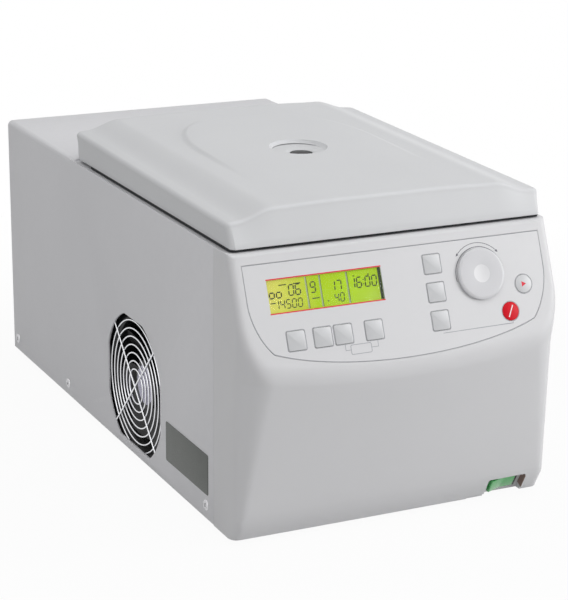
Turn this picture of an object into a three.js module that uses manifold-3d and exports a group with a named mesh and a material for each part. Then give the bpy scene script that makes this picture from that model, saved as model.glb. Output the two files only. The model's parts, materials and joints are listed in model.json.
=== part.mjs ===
// A refrigerated bench microcentrifuge in millimetres: X to the right, Y to the back, Z up.
// The origin is on the bench, under the middle of the whole machine.
import * as THREE from "three";
import { mergeVertices } from "three/addons/utils/BufferGeometryUtils.js";
import Module from "manifold-3d";

const wasm = await Module();
wasm.setup();

// Whole machine
const caseWidth = 281;
const caseDepth = 522; // from the lid's front edge to the rear wall
const deckHeight = 232; // from the case's lower edge to the rear deck
const chinReach = 42; // how far the front moulding's crest stands in front of the lid
const footHeight = 4;
const rearInset = 4; // how far the rear wall stands inside the cover's rear edge
const sheet = 1.5; // steel sheet of cover, pan and rear wall
const seat = 0.3; // gap between pieces that rest on or fit in each other
const overrun = 5; // how far a cutter passes the face that it cuts
const weld = 1e-4; // corners closer than this are one corner

const halfWidth = caseWidth / 2;
const frontY = chinReach - (caseDepth + chinReach) / 2; // plane of the lid's front edge
const rearY = frontY + caseDepth;
const caseBottom = footHeight;
const deckTop = caseBottom + deckHeight;
const rearWallY = rearY - rearInset;

// Lid
const lid = {
  depth: 335, // front edge to rear edge
  inset: 1.8, // lid side behind the case side
  gap: 2.6, // open line between the lid's rim and what lies under it
  rearGap: 3, // between the lid and the rear deck
  wall: 3,
  edgeFront: 19.1, // height of the side edge over the deck, at the front and at the rear
  edgeRear: 25.3,
  plateauFront: 30.5, // height of the raised middle over the deck
  plateauRear: 36,
  sideBand: 13.7, // flat band between the side edge and the foot of the cove
  coveWidth: 12, // from the cove's foot to the raised middle
  edgeRound: 1.6,
  frontLean: 3,
  frontLeanShare: 0.9, // part of the lean below the round edge
  frontRound: 4,
  planRadius: 6,
};
const lidRim = deckTop + lid.gap / 2;
const trayTop = deckTop - lid.gap / 2;
const lidRearY = frontY + lid.depth;
const lidHalf = halfWidth - lid.inset;
const coveFoot = lidHalf - lid.sideBand;
const plateauHalf = coveFoot - lid.coveWidth;
const quarterRoundShare = 1 - Math.SQRT1_2;

// Front moulding and its console
const bezel = {
  wall: 3,
  sideReach: 24, // how far its sides run back beside the lid
  chamferHeight: 17,
  edgeReach: 11, // lower edge, in front of the lid's edge
  lowerReach: 20.5, // top of the lower chamfer
  footRadius: 7,
  crestRadius: 24,
  footBow: 0.5,
  crestBow: 5.5,
  lipSetback: 0.5, // start of the narrow slope under the lid
};
const consoleFace = {
  tilt: THREE.MathUtils.degToRad(22),
  setback: 2.4, // where the console's plane meets the deck's level
  start: 3.4, // first slope distance that belongs to the console
  recess: 1.2,
  film: 0.9,
};
// The crest is where the console's plane reaches the front of the chin.
const crestHeight = deckHeight - (chinReach - consoleFace.setback) / Math.tan(consoleFace.tilt);

// Everything on the console: x as a share of the film's half width, and distance down its slope
const film = { inset: 9.5, top: 11, shoulder: 40, cornerInset: 16, cornerDown: 80.6, bottom: 102.4 };
const filmHalf = halfWidth - film.inset;
const bendShares = { side: 0.4, height: 0.333, corner: 0.88, middle: 0.5 };
const display = { xShare: -0.4878, down: 36.9, widthShare: 0.7435, height: 24.8 };
const displayWidth = filmHalf * display.widthShare;
const keySize = 15;
const roundKeyRadius = 7.4;
const keyProud = 0.5;
const keyTravel = 0.5;
const keyDepth = 2.6;
const keyRowDown = 72.2;
const keyPitch = 22.45; // between the keys of the column
const keyPairPitch = 17.6; // between the two close keys of the row
const rowKeys = {
  key_speed: { xShare: -0.7275 },
  key_ramp: { xShare: -0.5557 },
  key_time: { xShare: -0.2183 },
};
const columnKeys = { key_quick: 0, key_menu: 1, key_program: 2 }; // places up from the row
const columnShare = 0.2321;
const startKey = { xShare: 0.8397, down: 52.3 };
const stopKey = { xShare: 0.7206, down: 72.6 };
const dial = {
  xShare: 0.5519,
  down: 39.9,
  radius: 21,
  proud: 3.6,
  lift: 0.5,
  edge: 0.9,
  dimpleRadius: 7.2,
  dimpleDepth: 0.8,
  shaftRadius: 3,
};
const dimpleShares = { out: 0.7, down: 0.8 }; // where the dimple's wall turns into its floor
const consoleSpot = ({ xShare, down }) => ({ x: filmHalf * xShare, down });
const squareKeys = [];
for (const [name, { xShare }] of Object.entries(rowKeys))
  squareKeys.push({ name, x: filmHalf * xShare, down: keyRowDown });
const pairX = filmHalf * rowKeys.key_ramp.xShare + keyPairPitch;
squareKeys.push({ name: "key_temperature", x: pairX, down: keyRowDown });
for (const [name, place] of Object.entries(columnKeys))
  squareKeys.push({ name, x: filmHalf * columnShare, down: keyRowDown - place * keyPitch });
const roundKeys = [
  { name: "key_start", ...consoleSpot(startKey) },
  { name: "key_stop", ...consoleSpot(stopKey) },
];
const dialSpot = consoleSpot(dial);
const displaySpot = consoleSpot(display);

// Mains switch in the lower chamfer
const mainsSwitch = {
  fromSide: 37.5,
  recessFromSide: 35.5,
  recessWidth: 36,
  recessTop: 9.2,
  recessDepth: 6.5,
  bodyWidth: 30,
  bodyHeight: 16,
  bodyDepth: 20,
  flange: 1.2,
  rockerWidth: 26,
  rockerHeight: 13,
  rockerThick: 7,
  rockerRise: 4.2,
  throw: 16, // degrees from end to end
  lip: 1.4,
};
const rockerShares = { tip: 0.35, knee: 0.55, kneeRise: 0.2 }; // of its rise and of its half width
const switchX = halfWidth - mainsSwitch.fromSide;
const recessX = halfWidth - mainsSwitch.recessFromSide;
const switchNotch = { fromSide: 69.5, lift: 2.3 }; // raised stretch of the lower edge below the switch

// Case sheet metal
const cover = {
  lift: 1,
  bend: 5,
  slotCount: 9,
  slotPitch: 9,
  slotHeight: 3.4,
  slotLength: 44,
  columnPitch: 53,
};
const pan = { flange: 18, fanSpace: 1.5 };
const footing = { radius: 12, neck: 9, edge: 1.5, fromSide: 35.5, endOffset: 48 };
const fanHole = { radius: 64, halfWidth: 60, top: 123, bottom: 8.4 };

// Fan, seen through the left wall
const fan = {
  y: 195,
  z: 62.4,
  size: 119,
  depth: 25,
  bore: 58,
  mountPitch: 105,
  mountHole: 2.2,
  cornerRadius: 6,
  hub: 22,
  bladeCount: 7,
  bladeTip: 56,
  bladeThick: 1.8,
  bladeChord: 30,
  bladeSweepDegrees: 20,
  frontSpace: 6.4, // free depth in the bore in front of the blades
  strut: 2,
  strutWidth: 5,
};
const bladeShares = { rootSpread: 0.7, camber: 0.048 };
const guard = {
  wire: 0.9, // half the thickness of a wire
  rings: 7,
  firstRing: 15.2,
  ringPitch: 7.13,
  setback: 0.9,
  eyelet: 4.2,
  reach: 70.6,
  fewestSides: 10,
};

// Chamber and drive
const chamber = {
  y: 160,
  sideSpace: 42.5, // between the bowl and the case's side
  wall: 1,
  depth: 90,
  cornerRadius: 9,
  flange: 8,
  shaftHole: 16,
  trayClearance: 0.5,
};
const chamberRadius = halfWidth - chamber.sideSpace;
const seal = { gapToFlange: 1.5, width: 7, base: 1.2 };
const foam = { wall: 12, floor: 14, shaftHole: 22 };
const coil = { tube: 3, turns: 3, pitch: 16, start: 18, clearance: 0.35 };
const tray = { thick: 2, slotLength: 18, slotWidth: 9 };
const motor = { radius: 46, height: 92, flangeRadius: 50, flangeThick: 4, neckRadius: 18, neckHeight: 6 };
const motorPlate = { half: 56, thick: 4, corner: 14 };
const damper = { radius: 10, waistShare: 0.75, height: 12, circle: 40 };
const shaft = { radius: 6 };

// Rotor, heights from its base
const rotor = {
  lift: 6,
  wallGap: 6, // between the rotor and the bowl
  coneHeight: 14,
  waist: 30,
  height: 46.5,
  floor: 30,
  hubRadius: 26,
  hubTopRadius: 20,
  hubTop: 38,
  bores: 24,
  boreRadius: 5.5,
  boreDepth: 34,
};
const rotorShares = { base: 0.8043, rimOuter: 0.8913, rimInner: 0.7228, floor: 0.5435, lid: 0.8696 };
const rotorRadius = chamberRadius - rotor.wallGap;
const rotorLid = { thick: 2, hole: 7 };
const rotorNut = { radius: 15, height: 14, stem: 6.4, waist: 11 };

// Lid inner parts
const liner = {
  lift: 2.5,
  thick: 3,
  land: 1.3, // raised ring that presses on the chamber's seal
  landInside: 4.5, // how far the ring is wider than the seal, inside and outside it
  landOutside: 3.5,
  start: 4.8,
  rearInset: 35,
  clearance: 0.5,
};
const windowPort = { radius: 8.75, head: 11, headThick: 2 };
const dish = { radius: 26, offset: 5, drop: 1.2 };

// Low platform: insets from the raised middle's sides, distances ahead of the lid's rear edge
const platform = {
  rise: 1.9,
  front: { inset: 29, ahead: 273 },
  waist: { inset: 33.2, ahead: 149.4 },
  shoulder: { inset: 40.8, ahead: 103 },
  heel: { inset: 55.5, ahead: 64 },
  rear: { inset: 67, ahead: 43 },
};

// Hinge: axis measured from the lid's rear edge and from the deck
const hinge = {
  behind: 12,
  below: 14,
  armFromSide: 56.5,
  armThick: 6,
  armWidth: 7,
  eye: 6.5,
  pin: 3,
  ear: 3,
  earGap: 0.5,
  plateRear: 20,
  shaftEnd: 12,
  slotFront: 34,
  armReach: 62, // how far the arm runs forward under the lid
};
// Points of the arm's line: shares of the slot's reach, and drops as shares of the arm's width
const neckUpperShares = [[1.2, 0], [0.86, 0.35], [0.74, 1.4]];
const neckLowerShares = [[0.735, 0], [0.68, 1.25], [0.45, 1.7]];
const eyeShares = [0.9, 0.8];

// Lid lock
const lock = {
  fromSide: 30.5,
  y: 45,
  strikerThick: 4,
  strikerWidth: 12,
  footWidth: 12,
  footThick: 1.5,
  drop: 18,
  strikerWindow: 8, // square hole that the bolt enters
  boltRadius: 3,
  boltBelow: 11,
  boltLength: 32,
  boltTravel: 8,
  boltGap: 1.8,
  unitLength: 24,
  unitHeight: 22,
  unitWidth: 18,
};

// Cooling and electric parts inside
const condenser = { width: 120, height: 116, core: 10, finDepth: 24, fins: 10, finThick: 1.2, behind: 5 };
const compressor = { x: 52, fromRear: 97, radius: 52, height: 150, foot: 60, footThick: 3, dome: 26, neck: 6 };
const domeShares = [[1, 1], [0.9, 0.45], [0.62, 0.1]]; // of its radius, and of the drop from its top
const board = {
  thick: 1.6,
  below: 11,
  sideSpace: 22.5,
  top: 10,
  bottom: 84,
  post: 4,
  encoderRadius: 6,
  shaftGap: 0.9,
};
const screen = { margin: 1.6, depth: 6, below: 1.6 };
const inlet = {
  fromSide: 48.5,
  z: 52,
  width: 24.5,
  height: 17,
  depth: 15,
  wall: 2,
  flange: 6,
  flangeAbove: 3,
  flangeThick: 2.2,
  pinHeight: 5,
  pinThick: 2,
  pinLength: 12,
  pinSpread: 7,
  pinLow: -5.5,
};
const rearVent = {
  x: 40,
  z: 120,
  columns: 2,
  columnPitch: 56,
  rows: 9,
  rowPitch: 9,
  slotHeight: 3.4,
  slotLength: 46,
};

// Colours of the finishes
const finishes = {
  shell: { color: "#d3d3d5", roughness: 0.55, metalness: 0 },
  panel: { color: "#d9dadd", roughness: 0.5, metalness: 0 },
  sheetPaint: { color: "#b4b4b8", roughness: 0.55, metalness: 0.1 },
  keyGrey: { color: "#c3c4c8", roughness: 0.45, metalness: 0 },
  stopRed: { color: "#d7142a", roughness: 0.4, metalness: 0 },
  darkPlastic: { color: "#1b1c1e", roughness: 0.5, metalness: 0 },
  switchGreen: { color: "#2f9a45", roughness: 0.35, metalness: 0 },
  stainless: { color: "#b9bbbd", roughness: 0.3, metalness: 1 },
  chrome: { color: "#e2e3e5", roughness: 0.15, metalness: 1 },
  alloy: { color: "#9fa3a8", roughness: 0.35, metalness: 1 },
  darkAlloy: { color: "#3b3f45", roughness: 0.4, metalness: 0.9 },
  copper: { color: "#b06a3c", roughness: 0.35, metalness: 1 },
  rubber: { color: "#26272a", roughness: 0.85, metalness: 0 },
  foamGrey: { color: "#6c6d70", roughness: 0.95, metalness: 0 },
  blackSteel: { color: "#202226", roughness: 0.5, metalness: 0.3 },
  boardGreen: { color: "#1f5a38", roughness: 0.6, metalness: 0 },
  lcd: { color: "#b9d92a", roughness: 0.25, metalness: 0 },
  glass: { color: "#c8d4c0", roughness: 0.05, metalness: 0 },
  smokedGlass: { color: "#15171a", roughness: 0.05, metalness: 0 },
};

const lerp = THREE.MathUtils.lerp;
const clamp = THREE.MathUtils.clamp;
const machine = new THREE.Group();

// Geometry helpers

// A closed solid from a three.js geometry, with its faces turned outwards.
function solidFrom(geometry) {
  const bare = new THREE.BufferGeometry();
  bare.setAttribute("position", geometry.getAttribute("position").clone());
  if (geometry.index) bare.setIndex(geometry.index.clone());
  const merged = mergeVertices(bare, weld);
  const corners = merged.index.array;
  const faces = [];
  for (let i = 0; i < corners.length; i += 3) {
    const [a, b, c] = [corners[i], corners[i + 1], corners[i + 2]];
    if (a !== b && b !== c && a !== c) faces.push(a, b, c);
  }
  const build = (triangles) =>
    new wasm.Manifold(
      new wasm.Mesh({
        numProp: 3,
        vertProperties: new Float32Array(merged.attributes.position.array),
        triVerts: new Uint32Array(triangles),
      }),
    );
  const made = build(faces);
  if (made.volume() >= 0) return made;
  for (let i = 0; i < faces.length; i += 3) [faces[i], faces[i + 1]] = [faces[i + 1], faces[i]];
  return build(faces);
}

function geometryFrom(solid) {
  const mesh = solid.getMesh();
  const geometry = new THREE.BufferGeometry();
  geometry.setAttribute("position", new THREE.BufferAttribute(new Float32Array(mesh.vertProperties), 3));
  geometry.setIndex(new THREE.BufferAttribute(new Uint32Array(mesh.triVerts), 1));
  geometry.computeVertexNormals();
  return geometry;
}

const join = (first, ...rest) => rest.reduce((sum, next) => sum.add(next), first);
const cut = (from, ...tools) => tools.reduce((left, tool) => left.subtract(tool), from);

// A block between two values along each axis.
function block([x0, x1], [y0, y1], [z0, z1]) {
  const geometry = new THREE.BoxGeometry(x1 - x0, y1 - y0, z1 - z0);
  geometry.translate((x0 + x1) / 2, (y0 + y1) / 2, (z0 + z1) / 2);
  return solidFrom(geometry);
}

// A round rod along x, y or z between two values, through a point of the other two axes.
function rod(axis, radius, [from, to], [a, b], sides = 20) {
  const geometry = new THREE.CylinderGeometry(radius, radius, to - from, sides);
  const middle = (from + to) / 2;
  if (axis === "x") geometry.rotateZ(Math.PI / 2).translate(middle, a, b);
  if (axis === "y") geometry.translate(a, middle, b);
  if (axis === "z") geometry.rotateX(Math.PI / 2).translate(a, b, middle);
  return solidFrom(geometry);
}

// The outline's own two directions and the direction of extrusion; an xz outline grows to the front.
const planeAxes = {
  xy: [new THREE.Vector3(1, 0, 0), new THREE.Vector3(0, 1, 0), new THREE.Vector3(0, 0, 1)],
  yz: [new THREE.Vector3(0, 1, 0), new THREE.Vector3(0, 0, 1), new THREE.Vector3(1, 0, 0)],
  xz: [new THREE.Vector3(1, 0, 0), new THREE.Vector3(0, 0, 1), new THREE.Vector3(0, -1, 0)],
};

// An outline drawn in the xy, yz or xz plane and extruded between two values along the third axis.
function prism(plane, outline, [from, to], curveSegments = 8) {
  const settings = { depth: to - from, bevelEnabled: false, curveSegments };
  const geometry = new THREE.ExtrudeGeometry(outline, settings);
  geometry.applyMatrix4(new THREE.Matrix4().makeBasis(...planeAxes[plane]));
  if (plane === "xy") geometry.translate(0, 0, from);
  if (plane === "yz") geometry.translate(from, 0, 0);
  if (plane === "xz") geometry.translate(0, to, 0);
  return solidFrom(geometry);
}

// A profile of [radius, height] points turned about a vertical axis at x, y.
function turned(points, [x, y], segments = 48) {
  const profile = points.map(([radius, height]) => new THREE.Vector2(radius, height));
  const geometry = new THREE.LatheGeometry(profile, segments);
  geometry.rotateX(Math.PI / 2).translate(x, y, 0);
  return solidFrom(geometry);
}

// The triangles of a tube through closed rings that all have the same number of points.
function tubeFaces(ringCount, count) {
  const faces = [];
  for (let ring = 0; ring + 1 < ringCount; ring++)
    for (let i = 0; i < count; i++) {
      const [a, b] = [ring * count + i, ring * count + ((i + 1) % count)];
      faces.push(a, b, b + count, a, b + count, a + count);
    }
  return faces;
}

// A solid through rings, closed by one set of cap triangles at both ends.
function loft(rings, capTriangles) {
  const count = rings[0].length;
  const last = (rings.length - 1) * count;
  const faces = tubeFaces(rings.length, count);
  for (const [a, b, c] of capTriangles) faces.push(a, c, b, last + a, last + b, last + c);
  const geometry = new THREE.BufferGeometry();
  const places = rings.flat().flatMap((point) => point.toArray());
  geometry.setAttribute("position", new THREE.Float32BufferAttribute(places, 3));
  geometry.setIndex(faces);
  return solidFrom(geometry);
}

// Cap triangles for a flat ring that turns left in the plane of its two named axes.
function flatCap(ring, [u, v]) {
  const corners = ring.map((point) => new THREE.Vector2(point[u], point[v]));
  return THREE.ShapeUtils.triangulateShape(corners, []);
}

// A rectangle with round corners, centred on u, v.
function roundedRectangle(u, v, width, height, radius) {
  const [left, right, low, high] = [u - width / 2, u + width / 2, v - height / 2, v + height / 2];
  const outline = new THREE.Shape();
  outline.moveTo(left + radius, low);
  outline.lineTo(right - radius, low);
  outline.absarc(right - radius, low + radius, radius, -Math.PI / 2, 0, false);
  outline.lineTo(right, high - radius);
  outline.absarc(right - radius, high - radius, radius, 0, Math.PI / 2, false);
  outline.lineTo(left + radius, high);
  outline.absarc(left + radius, high - radius, radius, Math.PI / 2, Math.PI, false);
  outline.lineTo(left, low + radius);
  outline.absarc(left + radius, low + radius, radius, Math.PI, 1.5 * Math.PI, false);
  return outline;
}

function polygon(points) {
  return new THREE.Shape(points.map(([u, v]) => new THREE.Vector2(u, v)));
}

// A band of even width along a smooth line.
function ribbon(points, width, samples = 16) {
  const line = new THREE.SplineCurve(points.map(([u, v]) => new THREE.Vector2(u, v)));
  const sides = [[], []];
  for (let i = 0; i <= samples; i++) {
    const at = line.getPoint(i / samples);
    const along = line.getTangent(i / samples);
    sides[0].push([at.x - (along.y * width) / 2, at.y + (along.x * width) / 2]);
    sides[1].push([at.x + (along.y * width) / 2, at.y - (along.x * width) / 2]);
  }
  return polygon([...sides[0], ...sides[1].reverse()]);
}

function add(name, finish, solid, parent = machine) {
  const mesh = new THREE.Mesh(geometryFrom(solid), new THREE.MeshStandardMaterial(finishes[finish]));
  mesh.name = name;
  parent.add(mesh);
  return mesh;
}

// A frame on a sloping face: local x to the right, y up the slope, z out of the face.
function slopeFrame(x, y, z, angle) {
  const frame = new THREE.Group();
  frame.position.set(x, y, z);
  frame.rotation.x = angle;
  machine.add(frame);
  frame.updateMatrixWorld(true);
  return frame;
}

function inFrame(solid, frame) {
  return solid.transform(frame.matrixWorld.elements);
}

const consoleFrame = slopeFrame(0, frontY - consoleFace.setback, deckTop, Math.PI / 2 - consoleFace.tilt);
const chamferRun = bezel.lowerReach - bezel.edgeReach;
const chamferAngle = Math.atan2(bezel.chamferHeight, -chamferRun);
const switchFrame = slopeFrame(
  0,
  frontY - (bezel.edgeReach + bezel.lowerReach) / 2,
  caseBottom + bezel.chamferHeight / 2,
  chamferAngle,
);
const chamferHalf = Math.hypot(chamferRun, bezel.chamferHeight) / 2;

// Front moulding

// Plan outline at a height above the case's lower edge, drawn in by a wall.
function bezelRing(height, drawnIn, backY) {
  const climb = clamp((height - bezel.chamferHeight) / (crestHeight - bezel.chamferHeight), 0, 1);
  const belowChamfer = clamp(height / bezel.chamferHeight, 0, 1);
  const reach =
    height < bezel.chamferHeight
      ? lerp(bezel.edgeReach, bezel.lowerReach, belowChamfer)
      : lerp(bezel.lowerReach, chinReach, climb);
  const radius = lerp(bezel.footRadius, bezel.crestRadius, climb) - drawnIn;
  const bow = lerp(bezel.footBow, bezel.crestBow, climb);
  const side = halfWidth - drawnIn;
  const front = frontY - reach + drawnIn;
  const cornerX = side - radius;
  const cornerY = front + bow + radius;
  const z = caseBottom + height;
  const ring = [new THREE.Vector3(-side, backY, z)];
  const cornerSteps = 7;
  const bowSteps = 8;
  for (let i = 0; i <= cornerSteps; i++) {
    const angle = Math.PI + (i / cornerSteps) * (Math.PI / 2);
    ring.push(new THREE.Vector3(-cornerX + radius * Math.cos(angle), cornerY + radius * Math.sin(angle), z));
  }
  for (let i = 1; i < bowSteps; i++) {
    const share = (2 * i) / bowSteps - 1;
    ring.push(new THREE.Vector3(cornerX * share, front + bow * share * share, z));
  }
  for (let i = 0; i <= cornerSteps; i++) {
    const angle = 1.5 * Math.PI + (i / cornerSteps) * (Math.PI / 2);
    ring.push(new THREE.Vector3(cornerX + radius * Math.cos(angle), cornerY + radius * Math.sin(angle), z));
  }
  ring.push(new THREE.Vector3(side, backY, z));
  return ring;
}

// The side view that the console's slope and the top under the lid cut out of the moulding.
function bezelSideView(drawnIn, backY) {
  const slope = Math.tan(consoleFace.tilt);
  const inward = drawnIn / Math.cos(consoleFace.tilt);
  const slopeY = (z) => frontY - consoleFace.setback - (deckTop - z) * slope + inward;
  const lowZ = caseBottom - overrun;
  const consoleZ = deckTop - consoleFace.start * Math.cos(consoleFace.tilt) - drawnIn;
  return polygon([
    [backY, lowZ],
    [backY, trayTop - drawnIn],
    [frontY - bezel.lipSetback + drawnIn, trayTop - drawnIn],
    [slopeY(consoleZ), consoleZ],
    [slopeY(lowZ), lowZ],
  ]);
}

function filmOutline(grow) {
  const outline = new THREE.Shape();
  const half = filmHalf + grow;
  const top = -film.top + grow;
  const shoulder = -film.shoulder;
  const cornerX = filmHalf - film.cornerInset + grow;
  const cornerV = -film.cornerDown - grow;
  const lowest = -film.bottom - grow;
  const bendX = lerp(half, cornerX, bendShares.side);
  const bendV = lerp(shoulder, cornerV, bendShares.height);
  const middleX = cornerX * bendShares.middle;
  outline.moveTo(-half, top);
  outline.lineTo(-half, shoulder);
  outline.bezierCurveTo(-half, bendV, -bendX, cornerV * bendShares.corner, -cornerX, cornerV);
  outline.bezierCurveTo(-middleX, lowest, middleX, lowest, cornerX, cornerV);
  outline.bezierCurveTo(bendX, cornerV * bendShares.corner, half, bendV, half, shoulder);
  outline.lineTo(half, top);
  return outline;
}

function consoleBlock({ x, down }, width, height, span) {
  return block([x - width / 2, x + width / 2], [-down - height / 2, -down + height / 2], span);
}

function makeBezel() {
  const backY = frontY + bezel.sideReach;
  const heights = [0, bezel.chamferHeight, crestHeight, deckHeight];
  const body = (drawnIn, endY) => {
    const rings = heights.map((height) => bezelRing(height, drawnIn, endY));
    const sideView = prism("yz", bezelSideView(drawnIn, endY + overrun), [-caseWidth, caseWidth]);
    return loft(rings, flatCap(rings[0], ["x", "y"])).intersect(sideView);
  };
  const outer = body(0, backY);
  const inner = body(bezel.wall, backY + overrun);
  const floorTop = caseBottom + bezel.wall;
  const hollow = inner.intersect(
    block([-caseWidth, caseWidth], [frontY - caseDepth, rearY], [floorTop, deckTop + overrun]),
  );
  let shell = cut(outer, hollow);

  const filmRecess = prism("xy", filmOutline(seat), [-consoleFace.recess, overrun], 6);
  const windowHole = consoleBlock(
    displaySpot,
    displayWidth + 2 * screen.margin + 2 * seat,
    display.height + 2 * screen.margin + 2 * seat,
    [-2 * bezel.wall, overrun],
  );
  shell = cut(shell, inFrame(join(filmRecess, windowHole), consoleFrame));
  const holeSpan = [-2 * bezel.wall, overrun];
  for (const key of squareKeys) {
    const hole = consoleBlock(key, keySize + 2 * seat, keySize + 2 * seat, holeSpan);
    shell = cut(shell, inFrame(hole, consoleFrame));
  }
  for (const key of roundKeys) {
    const hole = rod("z", roundKeyRadius + seat, holeSpan, [key.x, -key.down], 16);
    shell = cut(shell, inFrame(hole, consoleFrame));
  }
  const dialHole = rod("z", dial.shaftRadius + 2 * seat, holeSpan, [dialSpot.x, -dialSpot.down], 16);
  shell = cut(shell, inFrame(dialHole, consoleFrame));

  // The switch sits at the bottom of a recess that is open at the lower edge.
  const halfRecess = mainsSwitch.recessWidth / 2;
  const recessEnds = [recessX - halfRecess, recessX + halfRecess];
  const pocketX = [recessEnds[0] - bezel.wall, recessEnds[1] + bezel.wall];
  const pocketZ = [-mainsSwitch.recessDepth - bezel.wall, 0];
  const pocket = inFrame(
    block(pocketX, [-chamferHalf - overrun, mainsSwitch.recessTop + bezel.wall], pocketZ),
    switchFrame,
  ).intersect(outer);
  const recess = block(
    recessEnds,
    [-chamferHalf - bezel.wall - overrun, mainsSwitch.recessTop],
    [-mainsSwitch.recessDepth, overrun],
  );
  const bodyHalf = mainsSwitch.bodyWidth / 2 - mainsSwitch.lip;
  const bodyRise = mainsSwitch.bodyHeight / 2 - mainsSwitch.lip;
  const bodyHole = block(
    [switchX - bodyHalf, switchX + bodyHalf],
    [-bodyRise, bodyRise],
    [-mainsSwitch.bodyDepth - overrun, 0],
  );
  const notch = block(
    [halfWidth - switchNotch.fromSide, caseWidth],
    [frontY - chinReach, frontY + bezel.sideReach],
    [caseBottom - overrun, caseBottom + switchNotch.lift],
  );
  shell = cut(join(shell, pocket), inFrame(recess, switchFrame), inFrame(bodyHole, switchFrame));
  add("front_bezel", "shell", cut(shell, notch.intersect(frontStrip())));
}

// The strip along the lower front edge that the switch notch is cut from.
function frontStrip() {
  return block(
    [-caseWidth, caseWidth],
    [frontY - chinReach, frontY - bezel.edgeReach + bezel.wall / 2],
    [caseBottom - overrun, caseBottom + bezel.wall],
  );
}

function makeFilm() {
  const low = -consoleFace.recess + seat;
  let sheetOut = prism("xy", filmOutline(0), [low, low + consoleFace.film], 6);
  const span = [-overrun, overrun];
  const windowSize = [displayWidth + 2 * seat, display.height + 2 * seat];
  sheetOut = cut(sheetOut, consoleBlock(displaySpot, ...windowSize, span));
  for (const key of squareKeys)
    sheetOut = cut(sheetOut, consoleBlock(key, keySize + 2 * seat, keySize + 2 * seat, span));
  for (const key of roundKeys)
    sheetOut = cut(sheetOut, rod("z", roundKeyRadius + seat, span, [key.x, -key.down], 16));
  sheetOut = cut(sheetOut, rod("z", dial.shaftRadius + 2 * seat, span, [dialSpot.x, -dialSpot.down], 16));
  add("membrane_panel", "panel", sheetOut, consoleFrame);
}

function makeKeys() {
  const span = [-keyDepth, keyProud];
  for (const key of squareKeys)
    add(key.name, "keyGrey", consoleBlock(key, keySize, keySize, span), consoleFrame);
  for (const key of roundKeys)
    add(
      key.name,
      key.name === "key_stop" ? "stopRed" : "keyGrey",
      rod("z", roundKeyRadius, span, [key.x, -key.down], 16),
      consoleFrame,
    );
}

function makeDial() {
  const base = dial.lift;
  const top = base + dial.proud;
  const profile = [
    [0, base],
    [dial.radius, base],
    [dial.radius, top - dial.edge],
    [dial.radius - dial.edge, top],
    [dial.dimpleRadius, top],
    [dial.dimpleRadius * dimpleShares.out, top - dial.dimpleDepth * dimpleShares.down],
    [0, top - dial.dimpleDepth],
  ];
  const disc = turned(profile, [dialSpot.x, -dialSpot.down], 24);
  const stemLow = -board.below + board.thick + board.shaftGap;
  const stem = rod("z", dial.shaftRadius, [stemLow, base + dial.edge], [dialSpot.x, -dialSpot.down], 16);
  add("speed_dial", "panel", join(disc, stem), consoleFrame);
}

function makeDisplay() {
  const face = -consoleFace.recess + seat;
  add(
    "display_window",
    "glass",
    consoleBlock(displaySpot, displayWidth, display.height, [face, face + consoleFace.film - seat]),
    consoleFrame,
  );
  const width = displayWidth + 2 * screen.margin;
  const height = display.height + 2 * screen.margin;
  add(
    "display_module",
    "lcd",
    consoleBlock(displaySpot, width, height, [face - seat - screen.depth, face - seat]),
    consoleFrame,
  );
}

function makeControlBoard() {
  const half = halfWidth - board.sideSpace;
  const boardZ = [-board.below, -board.below + board.thick];
  let plate = block([-half, half], [-board.bottom, -board.top], boardZ);
  for (const x of [-half + board.post, half - board.post])
    for (const v of [-board.bottom + board.post, -board.top - board.post])
      plate = join(plate, rod("z", board.post / 2, [-board.below, -bezel.wall - seat], [x, v], 10));
  const encoderZ = [-board.below, -board.below + board.thick + seat];
  const encoder = rod("z", board.encoderRadius, encoderZ, [dialSpot.x, -dialSpot.down], 16);
  add("control_board", "boardGreen", join(plate, encoder), consoleFrame);
}

// Mains switch

function makeMainsSwitch() {
  const { bodyWidth, bodyHeight, bodyDepth, lip, recessDepth } = mainsSwitch;
  const x = switchX;
  const faceZ = -recessDepth + seat + mainsSwitch.flange;
  const flange = block(
    [x - bodyWidth / 2, x + bodyWidth / 2],
    [-bodyHeight / 2, bodyHeight / 2],
    [-recessDepth + seat, faceZ],
  );
  const bodyX = bodyWidth / 2 - lip - seat;
  const bodyY = bodyHeight / 2 - lip - seat;
  const body = block([x - bodyX, x + bodyX], [-bodyY, bodyY], [-bodyDepth, -recessDepth + 2 * seat]);
  const swing = mainsSwitch.rockerWidth / 2 + seat;
  const well = block(
    [x - swing, x + swing],
    [-mainsSwitch.rockerHeight / 2 + lip - 2 * seat, mainsSwitch.rockerHeight / 2 - lip + 2 * seat],
    [-bodyDepth + lip, overrun],
  );
  add("power_switch_housing", "darkPlastic", cut(join(flange, body), well), switchFrame);

  // A shallow roof shape that stands pressed in at its left end.
  const half = mainsSwitch.rockerWidth / 2 - seat;
  const depth = mainsSwitch.rockerThick;
  const ridge = mainsSwitch.rockerRise;
  const profile = polygon([
    [-half, -depth],
    [half, -depth],
    [half, ridge * rockerShares.tip],
    [half * rockerShares.knee, ridge * rockerShares.kneeRise],
    [0, 0],
    [-half * rockerShares.knee, ridge * rockerShares.kneeRise],
    [-half, ridge * rockerShares.tip],
  ]);
  const rockerHalf = mainsSwitch.rockerHeight / 2 - lip;
  const rocker = prism("xz", profile, [-rockerHalf, rockerHalf]);
  const pivot = new THREE.Group();
  pivot.position.set(x, 0, -recessDepth + seat);
  pivot.rotation.y = THREE.MathUtils.degToRad(mainsSwitch.throw / 2);
  switchFrame.add(pivot);
  add("power_rocker", "switchGreen", rocker, pivot);
}

// Case sheet metal

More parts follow.
